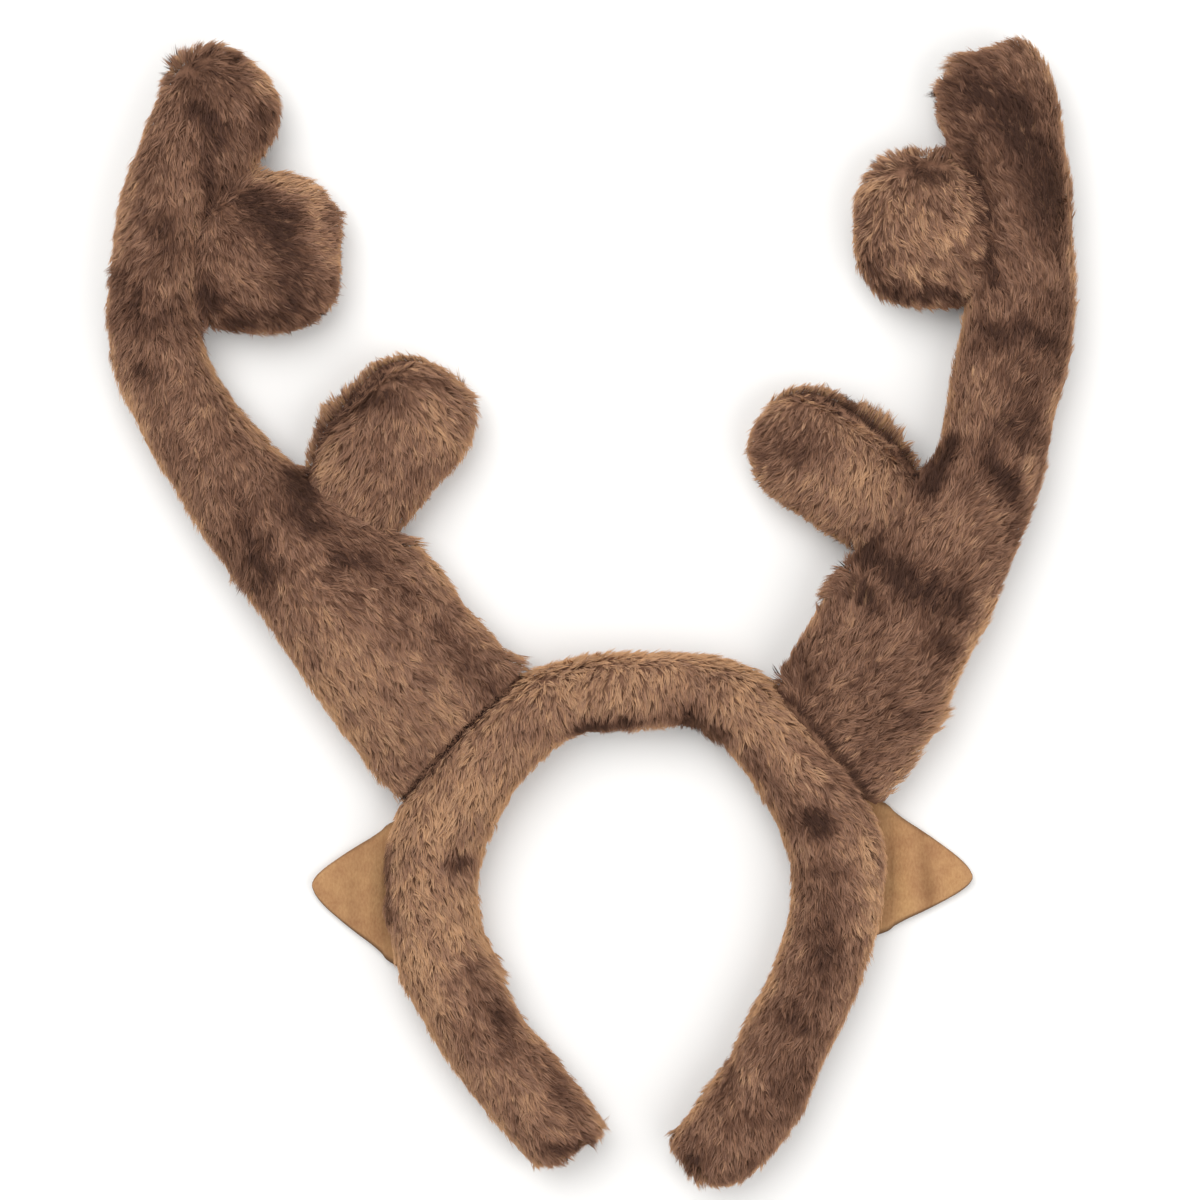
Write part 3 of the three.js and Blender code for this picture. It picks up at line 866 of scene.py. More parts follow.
def tufts_near(limb, places):
    """For each tuft of the limb: how near each place is to it, seen from the front, as
    exp(-(away / size)^2), how much longer it is and the angle that it points at."""
    for across, down, size, longer, way in TUFTS[limb.name]:
        away = np.linalg.norm(places[:, :2] - photo_place(across, down), axis=1) / (size * MM_PER_PIXEL)
        yield np.exp(-(away**2)), longer, np.radians(way)


def beyond_seam(name, turn):
    """Whether a place round a lower tine is on the back's side of its seam."""
    past = np.sin(np.radians(seam_turn(name, PILE_SEAM_TURN)) - turn)
    return past > 0 if name.endswith("left") else past < 0


def comb_angle(name, along, turn):
    """The way that the pile is combed, in degrees, with the fan across the limb as a cosine."""
    fan = FANS.get(name, 0) * np.cos(turn) * np.clip(along, 0, 1)
    return np.interp(along, *np.array(COMBS[name]).T) + fan


def lie_of(limb, roots, normals, along, turn, wander):
    """The way the pile lies at each root, along the skin, how far it faces what it is combed to, and
    the comb's own direction.

    The comb's direction is laid on the skin. Over a side that it points to, the pile falls towards the
    table, and on the side that it comes from it follows the outline, clockwise from the front.
    """
    angle = comb_angle(limb.name, along, turn)
    if limb.name in RIM_COMBS:
        angle = np.where(beyond_seam(limb.name, turn), RIM_COMBS[limb.name], angle)
    for turned, cell, seed in COMB_CLOUDS:
        angle = angle + turned * soft_noise(roots, cell, limb.seed + seed)
    angle = np.radians(angle + wander)
    combed = np.column_stack([np.cos(angle), np.sin(angle), 0 * angle])
    for near, _, way in tufts_near(limb, roots):
        pointed = np.array([np.cos(way), np.sin(way), 0])
        combed = combed * (1 - near[:, None]) + pointed * near[:, None]
    combed = unit(combed)
    facing = (combed * normals).sum(1, keepdims=True)
    laid = combed - facing * normals
    fall = normals * normals[:, 2:] - UP
    outline = unit(np.column_stack([normals[:, 1], -normals[:, 0], 0 * along]))
    laid += FALL * ease(facing, -0.5, 0.2) * fall + FOLLOW * ease(-facing, 0.5, 0.95) * outline
    return unit(laid), facing[:, 0], combed


def reach_of(limb, centres, normals, lie, facing, rng):
    """From each lock's root to its tip, and the lock's length. The lock stands at an angle over its
    lie, and a tuft is longer and stands up further."""
    stand = STAND + STAND_ON_SIDES * np.abs(facing)
    stand = np.radians(stand + rng.normal(0, STAND_CHANCE, len(lie)))
    length = PILE_LENGTH * rng.uniform(*LOCK_LENGTHS, len(lie))
    for near, longer, _ in tufts_near(limb, centres):
        length *= 1 + longer * near
        stand += TUFT_STAND * longer * near
    reach = lie * (np.cos(stand) * length)[:, None] + normals * (np.sin(stand) * length)[:, None]
    return reach, length


def closed_over(limb, neighbours, centres, normals, combed, reach, length):
    """The reach again, level and towards the neighbour at a tine's joint, and by how much it is so.
    The way to the neighbour is that in which the distance to it falls."""
    bridge = np.zeros(len(centres))
    for other in neighbours:
        if "headband" in (limb.name, other.name):
            continue
        gap = other.clearance(centres)
        near = (1 - ease(gap, 0, BRIDGE)) * ease(normals[:, 2], -0.5, 0)
        toward = np.zeros_like(centres)
        for axis, step in enumerate(([PROBE, 0, 0], [0, PROBE, 0])):
            toward[:, axis] = gap - other.clearance(centres + step)
        pull = PULL_TO_CARRIER if other is limb.carrier else PULL_FROM_CARRIER
        level = unit(combed + pull * unit(toward)) + BRIDGE_RISE * UP
        reach = reach + near[:, None] * (level * length[:, None] - reach)
        bridge = np.maximum(bridge, near)
    return reach, bridge


def cut_at_seams(limb, neighbours, band, root, tip, normal, turn):
    """Which blades are kept, the share of each that is left, and how much painted shade in a seam darkens it.

    Roots that a neighbour covers are left out. At the band's seams a blade is cut where it would cross
    the seam, and those in the seam are stubs darkened with painted shade, as are those in the seam of a lower
    tine.
    """
    keep = np.ones(len(root), bool)
    short = np.ones(len(root))
    seam_shade = np.zeros(len(root))
    onward = tip - root
    onward -= normal * (onward * normal).sum(1, keepdims=True)
    outer = root + normal * PILE_HEIGHT
    for other in neighbours:
        if "headband" not in (limb.name, other.name):
            keep &= other.clearance(root) > -COVERED
            continue
        antler = limb if other is limb.carrier else other
        points = antler.seam_points(band)
        bare, seam_shade_strength = SEAMS[antler.name]
        cut = ease(normal[:, 2], 0.05, 0.4)
        gap, over = seam_gap(points, other, outer), seam_gap(points, other, outer + onward)
        keep &= gap > -SEAM_OVERLAP
        crossing = np.clip((gap - bare) / np.maximum(gap - over, 1e-3), SHORTEST_STUB, 1)
        crossing = np.where(over < bare, 1 - cut * (1 - crossing), 1)
        short = np.minimum(short, crossing)
        # Painted shade in the groove of the band's seam.
        seam_shade = np.maximum(seam_shade, seam_shade_strength * cut * (1 - ease(gap, bare, 2.5 * bare)))
    if limb.name in RIM_COMBS:
        off = np.abs(turn % (2 * np.pi) - np.radians(seam_turn(limb.name, PILE_SEAM_TURN)))
        off = off * LOWER_TINE_DEPTH / 2
        short = np.minimum(short, TINE_STUB + (1 - TINE_STUB) * ease(off, 0.3, 1.6))
        # Painted shade in the groove of the lower tine's seam.
        seam_shade = np.maximum(seam_shade, TINE_SEAM_SHADE * (1 - ease(off, 0.7, 2.1)))
    return keep, short, seam_shade


def blades(root, middle, tip, face, width):
    """Each blade is two triangles that meet across its middle, where it bends: one from the root and
    one to the tip. face is the way that the blade's flat side looks."""
    side = unit(np.cross(tip - root, face)) * width[:, None] / 2
    places = np.stack([root, middle + side, middle - side, tip], 1)
    first = np.arange(len(root))[:, None, None] * 4
    faces = first + np.array([[0, 1, 2], [2, 1, 3]])[None]
    return places.reshape(-1, 3), faces.reshape(-1, 3)


def tone_of(limb, along, turn, roots, shown, rim, rng, lock):
    """How light each blade is, from 0 to 1: the limb's own tone, cloudy noise, strands, the patches of
    painted light and shade, painted rim light at the outline, and each lock's and each blade's own chance.

    A strand is noise that is drawn out along the comb. A patch is a bell in the distance from the line
    between its two places, seen from the front.
    """
    broad, small, fine = (
        height * soft_noise(roots, cell, limb.seed + seed) for height, cell, seed in TONE_CLOUDS
    )
    tone = np.interp(along, *np.array(BASE_TONES[limb.name]).T)
    tone += broad + small
    angle = np.radians(comb_angle(limb.name, along, turn))
    onward = roots[:, 0] * np.cos(angle) + roots[:, 1] * np.sin(angle)
    beside = roots[:, 1] * np.cos(angle) - roots[:, 0] * np.sin(angle)
    drawn_out = np.column_stack([onward / STRAND_STRETCH, beside, roots[:, 2]])
    tone += STRANDS.get(limb.name, PLAIN_STRANDS) * soft_noise(drawn_out, STRAND_WIDTH, limb.seed + 62)
    # Painted light and shade, patch by patch.
    for across, down, to_across, to_down, size, strength in LIGHT_AND_SHADE_PATCHES[limb.name]:
        begin, end = photo_place(across, down), photo_place(to_across, to_down)
        run = end - begin
        share = np.clip((shown[:, :2] - begin) @ run / (run @ run), 0, 1)
        away = np.linalg.norm(shown[:, :2] - begin - share[:, None] * run, axis=1)
        tone += strength * np.exp(-((away / (size * MM_PER_PIXEL)) ** 2))
    if limb.name in RIM_COMBS:
        tone += BEYOND_SEAM_TONE * beyond_seam(limb.name, turn)
    tone += fine
    locks = rng.normal(0, LOCK_TONES, lock.max() + 1)
    # Painted rim light at the outline.
    return tone + RIM_PAINTED_LIGHT * rim + locks[lock] + rng.normal(0, BLADE_TONES, len(roots))


def pile_of(limb, limbs):
    """All blades of one limb, in locks whose tips draw together: their places, faces and normals, and
    each blade's tone, warmth and how far the pile parts there."""
    rng = np.random.default_rng(limb.seed)
    neighbours = [other for other in limbs.values() if other is limb.carrier or other.carrier is limb]
    lock_along, lock_turn = scatter(limb, rng)
    lock = np.repeat(np.arange(len(lock_along)), BLADES_IN_LOCK)
    centres, normals, _, round_ = limb.frames(lock_along, lock_turn)
    wander = rng.normal(0, WANDER, len(lock_along))
    lie, facing, combed = lie_of(limb, centres, normals, lock_along, lock_turn, wander)
    parted = ease(-facing, 0.45, 0.9)[lock]
    reach, length = reach_of(limb, centres, normals, lie, facing, rng)
    reach, bridge = closed_over(limb, neighbours, centres, normals, combed, reach, length)
    lock_tip = centres + reach
    bridge = bridge[lock, None]

    offset = rng.normal(0, LOCK_SPREAD, (2, len(lock)))
    along = limb.moved_along(lock_along[lock], offset[0])
    radius = np.maximum(np.linalg.norm(round_, axis=1)[lock], 4)
    turn = lock_turn[lock] + np.clip(offset[1] / radius, -0.3, 0.3)
    along = np.clip(along, -LAST_ROOT if limb.carrier is None else 0, 1 + LAST_ROOT)
    root, normal, _, _ = limb.frames(along, turn)

    drawn = np.where(rng.random(len(lock)) < STRAYS, STRAY_DRAWN, LOCK_DRAWN)[:, None]
    own_reach = reach[lock] * rng.uniform(*BLADE_LENGTHS, len(lock))[:, None]
    own_tip = root + own_reach + rng.normal(0, TIP_SPREAD, (len(lock), 3))
    tip = own_tip * (1 - drawn) + (lock_tip[lock] + rng.normal(0, LOCK_TIP_SPREAD, (len(lock), 3))) * drawn

    keep, short, seam_shade = cut_at_seams(limb, neighbours, limbs["headband"], root, tip, normal, turn)
    tip = root + (tip - root) * short[:, None]
    bow = BOW * np.linalg.norm(tip - root, axis=1) * rng.uniform(0.5, 1.3, len(lock))
    bow *= 1 - PARTED_FLAT * parted
    middle = root * (1 - BEND) + tip * BEND + normal * bow[:, None]
    normal = unit(normal * (1 - bridge) + UP * bridge)
    # Painted rim light: the pile is made lighter where its skin turns from the front towards the outline.
    rim = ease(-normal[:, 2], -0.72, -0.05) * ease(normal[:, 2], -0.45, 0.1)
    root, tip, middle, normal, lock, along, turn, seam_shade, rim, parted = (
        values[keep] for values in (root, tip, middle, normal, lock, along, turn, seam_shade, rim, parted)
    )
    tip[:, 2] = np.maximum(tip[:, 2], TABLE_CLEARANCE)
    middle[:, 2] = np.maximum(middle[:, 2], TABLE_CLEARANCE + 0.1)
    lock = np.unique(lock, return_inverse=True)[1]
    tone = tone_of(limb, along, turn, root, 0.5 * (root + tip), rim, rng, lock)
    # Painted shade in the seams darkens the tone.
    tone = np.clip(tone, SEAM_TONE, 1) * (1 - seam_shade)
    roll = rng.normal(0, ROLL, (len(root), 1))
    upright = UPRIGHT * (1 - np.abs(normal[:, 2:])) * UP
    face = unit(normal + roll * unit(np.cross(normal, tip - root)) + upright)
    width = BLADE_WIDTH * rng.uniform(0.75, 1.25, len(root))
    places, faces = blades(root, middle, tip, face, width)
    soft = unit(0.6 * normal + 0.4 * face)
    # The painted rim light is warmer as well as lighter.
    warmth = rng.random(len(root)) * 0.8 + 0.3 * rim
    warmth = np.clip((warmth * WARMTHS).astype(int), 0, WARMTHS - 1)
    return places, faces, np.repeat(soft, 4, axis=0), tone, warmth, parted


def colour_map(tone, warmth, parted):
    """Each blade's places on its colour map, for the six corners of its two triangles.

    A column of the map is a tone and a row a warmth, and a cell goes from the root to the tip. Where
    the pile is parted, a blade leaves out the dark part of its cell.
    """
    column = np.clip((tone * TONES).astype(int), 0, TONES - 1)
    left, right = (column + 0.15) / TONES, (column + 0.85) / TONES
    centre = (left + right) / 2
    shares = (0.03 + 0.45 * parted, 0.45 + 0.25 * parted, 0.97)
    root, half, end = ((warmth + share) / WARMTHS for share in shares)
    spots = [np.column_stack(pair) for pair in ((centre, root), (right, half), (left, half), (centre, end))]
    corners = [0, 1, 2, 2, 1, 3]
    return np.stack([spots[corner] for corner in corners], 1).reshape(-1, 2)


# Materials


class Nodes:
    """A node tree that is being drawn up: add() makes a node with its values and its links."""

    def __init__(self, tree):
        self.tree = tree

    def add(self, kind, settings=None, **inputs):
        """A new node. In an input's name, a low line stands for a space."""
        node = self.tree.nodes.new(kind)
        for key, value in (settings or {}).items():
            setattr(node, key, value)
        for key, value in inputs.items():
            self.put(node, key.replace("_", " "), value)
        return node

    def put(self, node, key, value):
        """Sets an input, by its name or number, to a value or links another node's output to it."""
        socket = node.inputs[int(key)] if key.isdigit() else node.inputs[key]
        if isinstance(value, bpy.types.NodeSocket):
            self.tree.links.new(value, socket)
        else:
            socket.default_value = value


def maths(nodes, operation, first, second=0.5):
    """One step of arithmetic, as a node's output."""
    node = nodes.tree.nodes.new("ShaderNodeMath")
    node.operation = operation
    nodes.put(node, "0", first)
    nodes.put(node, "1", second)
    return node.outputs[0]


def mixed(nodes, share, first, second, blend="MIX"):
    """Two colours mixed by share."""
    node = nodes.add("ShaderNodeMix", {"data_type": "RGBA", "blend_type": blend})
    for key, value in (("0", share), ("6", first), ("7", second)):
        nodes.put(node, key, value)
    return node.outputs[2]


def ramp(nodes, value, stops):
    """A colour that follows value through the stops, (place, colour) each."""
    node = nodes.add("ShaderNodeValToRGB", Fac=value)
    band = node.color_ramp.elements
    while len(band) < len(stops):
        band.new(0.5)
    for element, (place, colour) in zip(band, stops):
        element.position = place
        element.color = colour
    return node.outputs["Color"]


def group(name, inputs, outputs):
    """An empty node group with named inputs, (name, kind, value) each, and outputs, (name, kind)."""
    tree = bpy.data.node_groups.new(name, "ShaderNodeTree")
    for label, kind, value in inputs:
        socket = tree.interface.new_socket(label, in_out="INPUT", socket_type=kind)
        socket.default_value = value
    for label, kind in outputs:
        tree.interface.new_socket(label, in_out="OUTPUT", socket_type=kind)
    nodes = Nodes(tree)
    return nodes, nodes.add("NodeGroupInput").outputs, nodes.add("NodeGroupOutput")


def srgb(code):
    """A colour from its six hex digits, made linear."""
    parts = np.array([int(code[i : i + 2], 16) for i in (0, 2, 4)]) / 255
    linear = np.where(parts <= 0.04045, parts / 12.92, ((parts + 0.055) / 1.055) ** 2.4)
    return (*linear, 1.0)


def pile_colour_group():
    """The plush's colour: Tone goes from the darkest pile to the lightest, with the painted light and shade
    that it carries, Along from a blade's root to its tip, darker at the root partly as painted shade deep
    in the pile, and Warmth from a greyer brown to a redder one."""
    nodes, given, result = group(
        "PileColour",
        [(label, "NodeSocketFloat", 0.5) for label in ("Tone", "Along", "Warmth")],
        [("Color", "NodeSocketColor")],
    )
    toned = ramp(nodes, given["Tone"], PILE_TONES)
    # Darker at the root, partly the pile's own colour and partly painted shade deep in the pile.
    depth = ramp(nodes, given["Along"], PILE_ROOT_COLOUR_AND_SHADE)
    shaded = mixed(nodes, 1.0, toned, depth, "MULTIPLY")
    hue = mixed(nodes, given["Warmth"], COOL_HUE, WARM_HUE)
    nodes.put(result, "Color", mixed(nodes, 1.0, shaded, hue, "MULTIPLY"))
    return nodes.tree


def nap_group():
    """A short nap: fine noise, stretched one way by the map that comes in, as a colour and a bump."""
    nodes, given, result = group(
        "Nap",
        [("Vector", "NodeSocketVector", (0, 0, 0)), ("Scale", "NodeSocketFloat", 400.0),
         ("Depth", "NodeSocketFloat", 0.3)],
        [("Shade", "NodeSocketFloat"), ("Normal", "NodeSocketVector")],
    )
    fine = nodes.add("ShaderNodeTexNoise", Vector=given["Vector"], Scale=given["Scale"], Detail=4.0)
    bump = nodes.add("ShaderNodeBump", Strength=given["Depth"], Distance=0.0006, Height=fine.outputs["Fac"])
    nodes.put(result, "Shade", fine.outputs["Fac"])
    nodes.put(result, "Normal", bump.outputs["Normal"])
    return nodes.tree


def new_material(name):
    """An empty material and its nodes."""
    material = bpy.data.materials.new(name)
    material.use_nodes = True
    material.node_tree.nodes.clear()
    return material, Nodes(material.node_tree)


def placed_group(nodes, tree, **inputs):
    """The outputs of a node group that is put into a material."""
    node = nodes.add("ShaderNodeGroup", {"node_tree": tree})
    for key, value in inputs.items():
        nodes.put(node, key, value)
    return node.outputs


def finish_material(nodes, colour, roughness, normal=None, sheen=0.0, shine=0.2):
    """The material's last nodes: its surface and its output."""
    shader = nodes.add("ShaderNodeBsdfPrincipled")
    nodes.put(shader, "Base Color", colour)
    nodes.put(shader, "Roughness", roughness)
    shader.inputs["Specular IOR Level"].default_value = shine
    shader.inputs["Sheen Weight"].default_value = sheen
    shader.inputs["Sheen Roughness"].default_value = 0.5
    shader.inputs["Sheen Tint"].default_value = srgb("c09468")
    if normal is not None:
        nodes.put(shader, "Normal", normal)
    nodes.add("ShaderNodeOutputMaterial", Surface=shader.outputs[0])


PILE_TONES = [
    (0.0, srgb("2e201c")),
    (0.08, srgb("4a342b")),
    (0.3, srgb("6b4d3e")),
    (0.6, srgb("94705b")),
    (1.0, srgb("c49b77")),
]
# From a blade's root to its tip: darker at the root, partly the pile's own colour and partly painted shade
# deep in the pile.
PILE_ROOT_COLOUR_AND_SHADE = [(0.0, (0.6, 0.57, 0.55, 1)), (0.4, (0.86, 0.84, 0.83, 1)), (1.0, (1.21, 1.21, 1.22, 1))]
# Painted shade in an ear fold's hollow at 0, and painted light on its crests at 1.
PAINTED_FOLD_TONES = [(0.0, (0.66, 0.62, 0.6, 1)), (0.5, (1, 1, 1, 1)), (1.0, (1.14, 1.15, 1.1, 1))]
COOL_HUE = (0.98, 1.0, 1.04, 1)
WARM_HUE = (1.05, 0.99, 0.91, 1)


def pile_material(colour_tree):
    """The blades: their colour map's column is the tone, its row the warmth, and a cell's height the
    way from root to tip."""
    material, nodes = new_material("plush_pile")
    spot = nodes.add("ShaderNodeUVMap", {"uv_map": "OFBake"})
    parts = nodes.add("ShaderNodeSeparateXYZ", Vector=spot.outputs[0]).outputs
    column = maths(nodes, "FLOOR", maths(nodes, "MULTIPLY", parts["X"], float(TONES)))
    tone = maths(nodes, "DIVIDE", column, float(TONES - 1))
    rows = maths(nodes, "MULTIPLY", parts["Y"], float(WARMTHS))
    warmth = maths(nodes, "DIVIDE", maths(nodes, "FLOOR", rows), float(WARMTHS - 1))
    colour = placed_group(nodes, colour_tree, Tone=tone, Along=maths(nodes, "FRACT", rows), Warmth=warmth)
    finish_material(nodes, colour["Color"], 0.8, sheen=0.3, shine=0.06)
    return material


def skin_material(colour_tree, nap_tree):
    """The cloth under the pile, darker, with a brushed nap."""
    material, nodes = new_material("plush_cloth")
    place = nodes.add("ShaderNodeTexCoord").outputs["Object"]
    cloud = nodes.add("ShaderNodeTexNoise", Vector=place, Scale=55.0, Detail=2.0).outputs["Fac"]
    stretched = nodes.add("ShaderNodeMapping", Vector=place, Scale=(1.0, 0.35, 1.0)).outputs[0]
    nap = placed_group(nodes, nap_tree, Vector=stretched, Scale=900.0, Depth=0.8)
    colour = placed_group(nodes, colour_tree, Tone=cloud, Along=nap["Shade"], Warmth=0.5)
    finish_material(nodes, colour["Color"], 0.9, normal=nap["Normal"], shine=0.05)
    return material


def suede_material(nap_tree):
    """The ears' cloth: a short nap, mottled. The piece's attributes give painted shade along its edge,
    painted light on the fold's crest and painted shade in its hollow, and the shade beside the band."""
    material, nodes = new_material("ear_suede")
    place = nodes.add("ShaderNodeTexCoord").outputs["Object"]
    rim, fold_light_and_shade, shade = (
        nodes.add("ShaderNodeAttribute", {"attribute_name": label}).outputs["Fac"]
        for label in ("rim", "fold_light_and_shade", "shade")
    )
    cloud = nodes.add("ShaderNodeTexNoise", Vector=place, Scale=75.0, Detail=4.0).outputs["Fac"]
    rubbed = nodes.add("ShaderNodeTexNoise", Vector=place, Scale=190.0, Detail=3.0).outputs["Fac"]
    stretched = nodes.add("ShaderNodeMapping", Vector=place, Scale=(1.0, 0.5, 1.0)).outputs[0]
    nap = placed_group(nodes, nap_tree, Vector=stretched, Scale=1500.0, Depth=0.4)
    base = ramp(nodes, cloud, [(0.3, srgb("9c6f4c")), (0.5, srgb("a87c55")), (0.7, srgb("b58c60"))])
    spots = ramp(nodes, rubbed, [(0.3, srgb("94694a")), (0.7, srgb("bd9468"))])
    grained = mixed(nodes, 0.45, base, spots)
    fine = ramp(nodes, nap["Shade"], [(0.3, srgb("8a6243")), (0.7, srgb("c9a276"))])
    napped = mixed(nodes, 0.24, grained, fine)
    # Painted light and shade of the fold, multiplied in.
    fold_shaded = mixed(nodes, 1.0, napped, ramp(nodes, fold_light_and_shade, PAINTED_FOLD_TONES), "MULTIPLY")
    shaded = mixed(nodes, maths(nodes, "MULTIPLY", shade, 0.75), fold_shaded, srgb("5f412f"))
    # Painted shade along the edge, in dark brown.
    colour = mixed(nodes, rim, shaded, srgb("57402f"))
    finish_material(nodes, colour, 0.88, normal=nap["Normal"], sheen=0.15, shine=0.12)
    return material


def plain_material(name, colour, roughness):
    """A material of one colour."""
    material, nodes = new_material(name)
    finish_material(nodes, colour, roughness)
    return material


# Pieces

# The mesh of an ear
EAR_ROW_COUNT = 44
EAR_COLUMN_COUNT = 22
EAR_PROBES = 90  # places along it where its way out of the band is looked for
EAR_BURIED = 1.9  # how deep inside the band it begins
EAR_EDGE = 12  # how sharply its edge is rounded
EAR_EDGE_PAINTED_SHADE = (0.2, 0.85)  # the painted shade along the ear's edge fades between these distances from it
EAR_SHADE = (-1.5, 4.2)  # and the band's shade between these distances from the band

# Painted light on the crests and painted shade in the hollow of an ear's fold. Columns: strength; place
# along; breadth.
EAR_PAINTED_FOLD = [(0.5, 0.47, 0.08), (-0.5, 0.66, 0.06), (0.35, 0.86, 0.09)]


def add_limb(limb, limbs, cloth, pile):
    """A limb's cloth, and its pile in as many pieces as the most faces of a piece ask for."""
    name = limb.name
    places, faces = skin_of(limb)
    skin = mesh_object(f"{name}_cloth", places, faces, cloth)
    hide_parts(name)
    places, faces, normals, tone, warmth, parted = pile_of(limb, limbs)
    count = len(tone)
    parts = -(-2 * count // MOST_FACES)
    labels = ["pile"] if parts == 1 else [f"pile_{i + 1}" for i in range(parts)]
    for label, own in zip(labels, np.array_split(np.arange(count), parts)):
        first, last = own[0], own[-1] + 1
        own_faces = faces[2 * first : 2 * last] - 4 * first
        fur = mesh_object(f"{name}_{label}", places[4 * first : 4 * last], own_faces, pile)
        spots = fur.data.uv_layers.new(name="OFBake")
        corners = colour_map(tone[own], warmth[own], parted[own])
        spots.data.foreach_set("uv", corners.astype(np.float32).ravel())
        fur.data.normals_split_custom_set_from_vertices(normals[4 * first : 4 * last])
    print(f"{name}: {len(skin.data.polygons)} faces of cloth, {2 * count} of pile")


def add_ear(side, ear, limbs, suede):
    """A leaf of cloth with a soft fold across it, from under the band's pile to its point.

    Its edge follows the spline through the outline's rows. Across, the cloth rises by a half sine
    times the fold's height, and its underside is the same surface one thickness lower.
    """
    out, band = ear["out"], limbs["headband"]
    seat = spline(band.rows[:, :2], np.array([ear["seat"]]))[0]
    rows, columns = EAR_ROW_COUNT, EAR_COLUMN_COUNT
    spread = np.linspace(0, 1, columns + 1)
    sides = np.concatenate([spread, spread[::-1]])
    top = np.repeat([1.0, 0.0], columns + 1)

    def surface(share, sides, top):
        along, wide, fold = spline(EAR_ROWS, share).T
        y = wide * (ear["above"] * sides - ear["below"] * (1 - sides)) - ear["sag"] * along
        crown = np.sin(np.pi * sides)
        rounding = np.sqrt(np.clip(4 * sides * (1 - sides) * EAR_EDGE, 0, 1))
        middle = EAR_LIFT + EAR_THICKNESS / 2 + EAR_FOLD * fold * crown
        z = middle + (top - 0.5) * EAR_THICKNESS * (0.35 + 0.65 * rounding)
        return np.column_stack([seat[0] + out * along * ear["length"], seat[1] + y, z])

    steps = np.linspace(0, 1, EAR_PROBES)
    probes = np.repeat(steps, len(spread))
    probe = surface(probes, np.tile(spread, EAR_PROBES), np.full(len(probes), 0.5))
    inside = band.clearance(probe).reshape(EAR_PROBES, -1) < -EAR_BURIED
    begins = steps[np.where(inside.any(0), EAR_PROBES - 1 - inside[::-1].argmax(0), 0)]
    begins = np.concatenate([begins, begins[::-1]])
    share = (begins[None] + (1 - begins[None]) * np.linspace(0, 1, rows)[:, None]).ravel()
    all_sides, all_top = np.tile(sides, rows), np.tile(top, rows)
    places = surface(share, all_sides, all_top)
    hubs = places.reshape(rows, len(sides), 3)[[0, -1]].mean(1)
    faces = tube_faces(rows, len(sides))
    if out < 0:
        faces = faces[:, ::-1]
    piece = mesh_object(f"ear_{side}_cloth", np.vstack([places, hubs]), faces, suede)
    breadth = (ear["above"] + ear["below"]) * spline(EAR_ROWS, share)[:, 1]
    to_edge = np.minimum(all_sides, 1 - all_sides) * breadth
    to_point = (1 - share) * ear["length"]
    # Painted shade along the edge, stronger on the lower edge than on the upper one.
    rim = (1 - ease(np.minimum(to_edge, to_point), *EAR_EDGE_PAINTED_SHADE)) * (1 - 0.5 * all_sides)
    # Painted light on the fold's crests and painted shade in its hollow, as a share that the colour is
    # multiplied by.
    run = out * (places[:, 0] - seat[0]) / ear["length"] + 0.07 * (all_sides - 0.5)
    fold_light_and_shade = sum(height * np.exp(-(((run - place) / broad) ** 2)) for height, place, broad in EAR_PAINTED_FOLD)
    fold_light_and_shade = 0.5 + ear["fold_shaded"] * fold_light_and_shade * (0.45 + 0.55 * np.cos(np.pi * (all_sides - 0.35)) ** 2)
    shade = ear["shaded"] * (1 - ease(band.clearance(places), *EAR_SHADE))
    for label, values in (("rim", rim), ("fold_light_and_shade", fold_light_and_shade), ("shade", shade)):
        attribute = piece.data.attributes.new(label, "FLOAT", "POINT")
        attribute.data.foreach_set("value", np.append(values, [values[0], values[-1]]).astype(np.float32))
    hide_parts(f"ear_{side}")


THINNING = 1.0

# shift is the way from the band's own frame to the row's: the band's outer form fits its box.
limbs = make_limbs()
probes = np.meshgrid(np.linspace(-1, 2, 300), np.linspace(0, 2 * np.pi, 121))
probe_along, probe_turn = (grid.ravel() for grid in probes)
band_low = limbs["headband"].surface(probe_along, probe_turn, inset=0, lumps=0).min(0)
shift = np.array(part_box("headband")[0]) / MM - band_low
shift[2] = 0

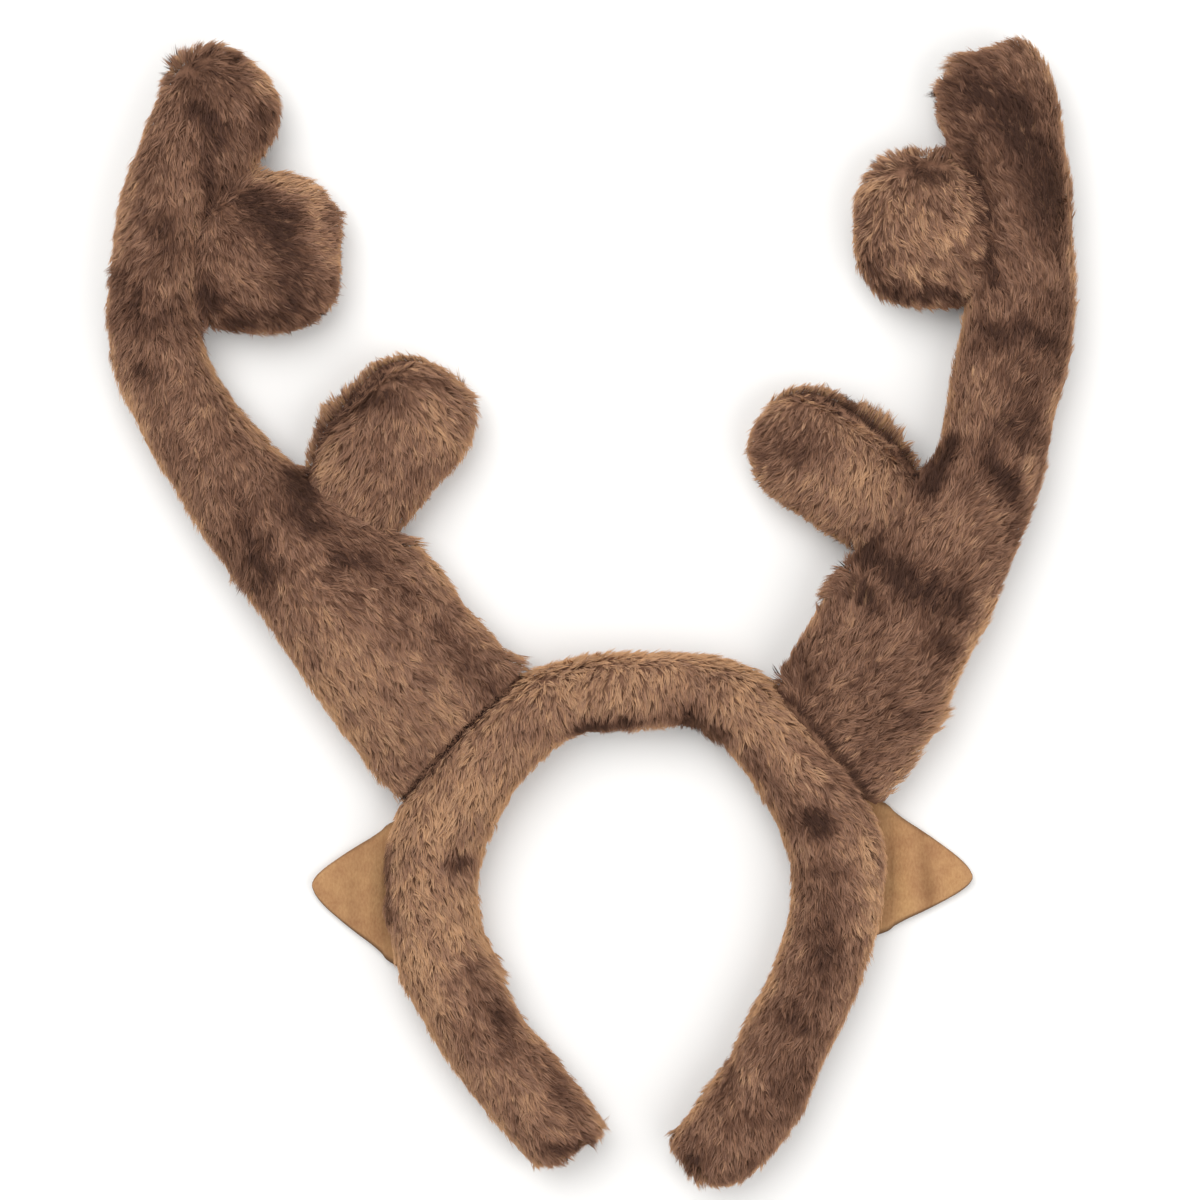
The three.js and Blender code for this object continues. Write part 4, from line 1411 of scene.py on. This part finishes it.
pile_colours, nap = pile_colour_group(), nap_group()
pile, cloth, suede = pile_material(pile_colours), skin_material(pile_colours, nap), suede_material(nap)
for limb in limbs.values():
    add_limb(limb, limbs, cloth, pile)
for side, ear in EARS.items():
    add_ear(side, ear, limbs, suede)


# Table, light and camera

TABLE_SIZE = 3.0
VIEW_DISTANCE = 1.6
SENSOR = 36
SKY_STRENGTH = 0.66

# Round lamps that look at the table's middle. Columns: name; place; size; power.
LAMPS = [("key", (-0.45, 0.7, 1.5), 1.6, 20), ("fill", (0.9, -0.5, 1.2), 1.5, 9)]


def add_table():
    """A square top, level with the part's back."""
    half = TABLE_SIZE / 2
    corners = [(-half, -half, 0), (half, -half, 0), (half, half, 0), (-half, half, 0)]
    mesh = bpy.data.meshes.new("table")
    mesh.from_pydata(corners, [], [(0, 1, 2, 3)])
    mesh.materials.append(plain_material("table_top", srgb("f4f3f1"), 0.9))
    table = bpy.data.objects.new("table", mesh)
    bpy.context.scene.collection.objects.link(table)


def add_light(name, place, size, power):
    """A round lamp, in metres and watts."""
    data = bpy.data.lights.new(name, "AREA")
    data.shape = "DISK"
    data.size = size
    data.energy = power
    light = bpy.data.objects.new(name, data)
    light.location = place
    light.rotation_euler = (-Vector(place)).to_track_quat("-Z", "Y").to_euler()
    bpy.context.scene.collection.objects.link(light)


def add_camera():
    """A long lens straight above, so far off that one pixel of the photograph is its size here."""
    data = bpy.data.cameras.new("camera")
    data.sensor_width = SENSOR
    data.lens = SENSOR * VIEW_DISTANCE / (PHOTO_PIXELS * MM_PER_PIXEL * MM)
    camera = bpy.data.objects.new("camera", data)
    camera.location = np.array(VIEW_AIM) * MM + np.array([0, 0, VIEW_DISTANCE])
    bpy.context.scene.collection.objects.link(camera)
    bpy.context.scene.camera = camera


add_table()
for lamp in LAMPS:
    add_light(*lamp)
world = bpy.data.worlds.new("studio")
world.use_nodes = True
sky = world.node_tree.nodes["Background"].inputs
sky["Color"].default_value = (1, 1, 1, 1)
sky["Strength"].default_value = SKY_STRENGTH
bpy.context.scene.world = world
bpy.context.scene.view_settings.view_transform = "Standard"
add_camera()
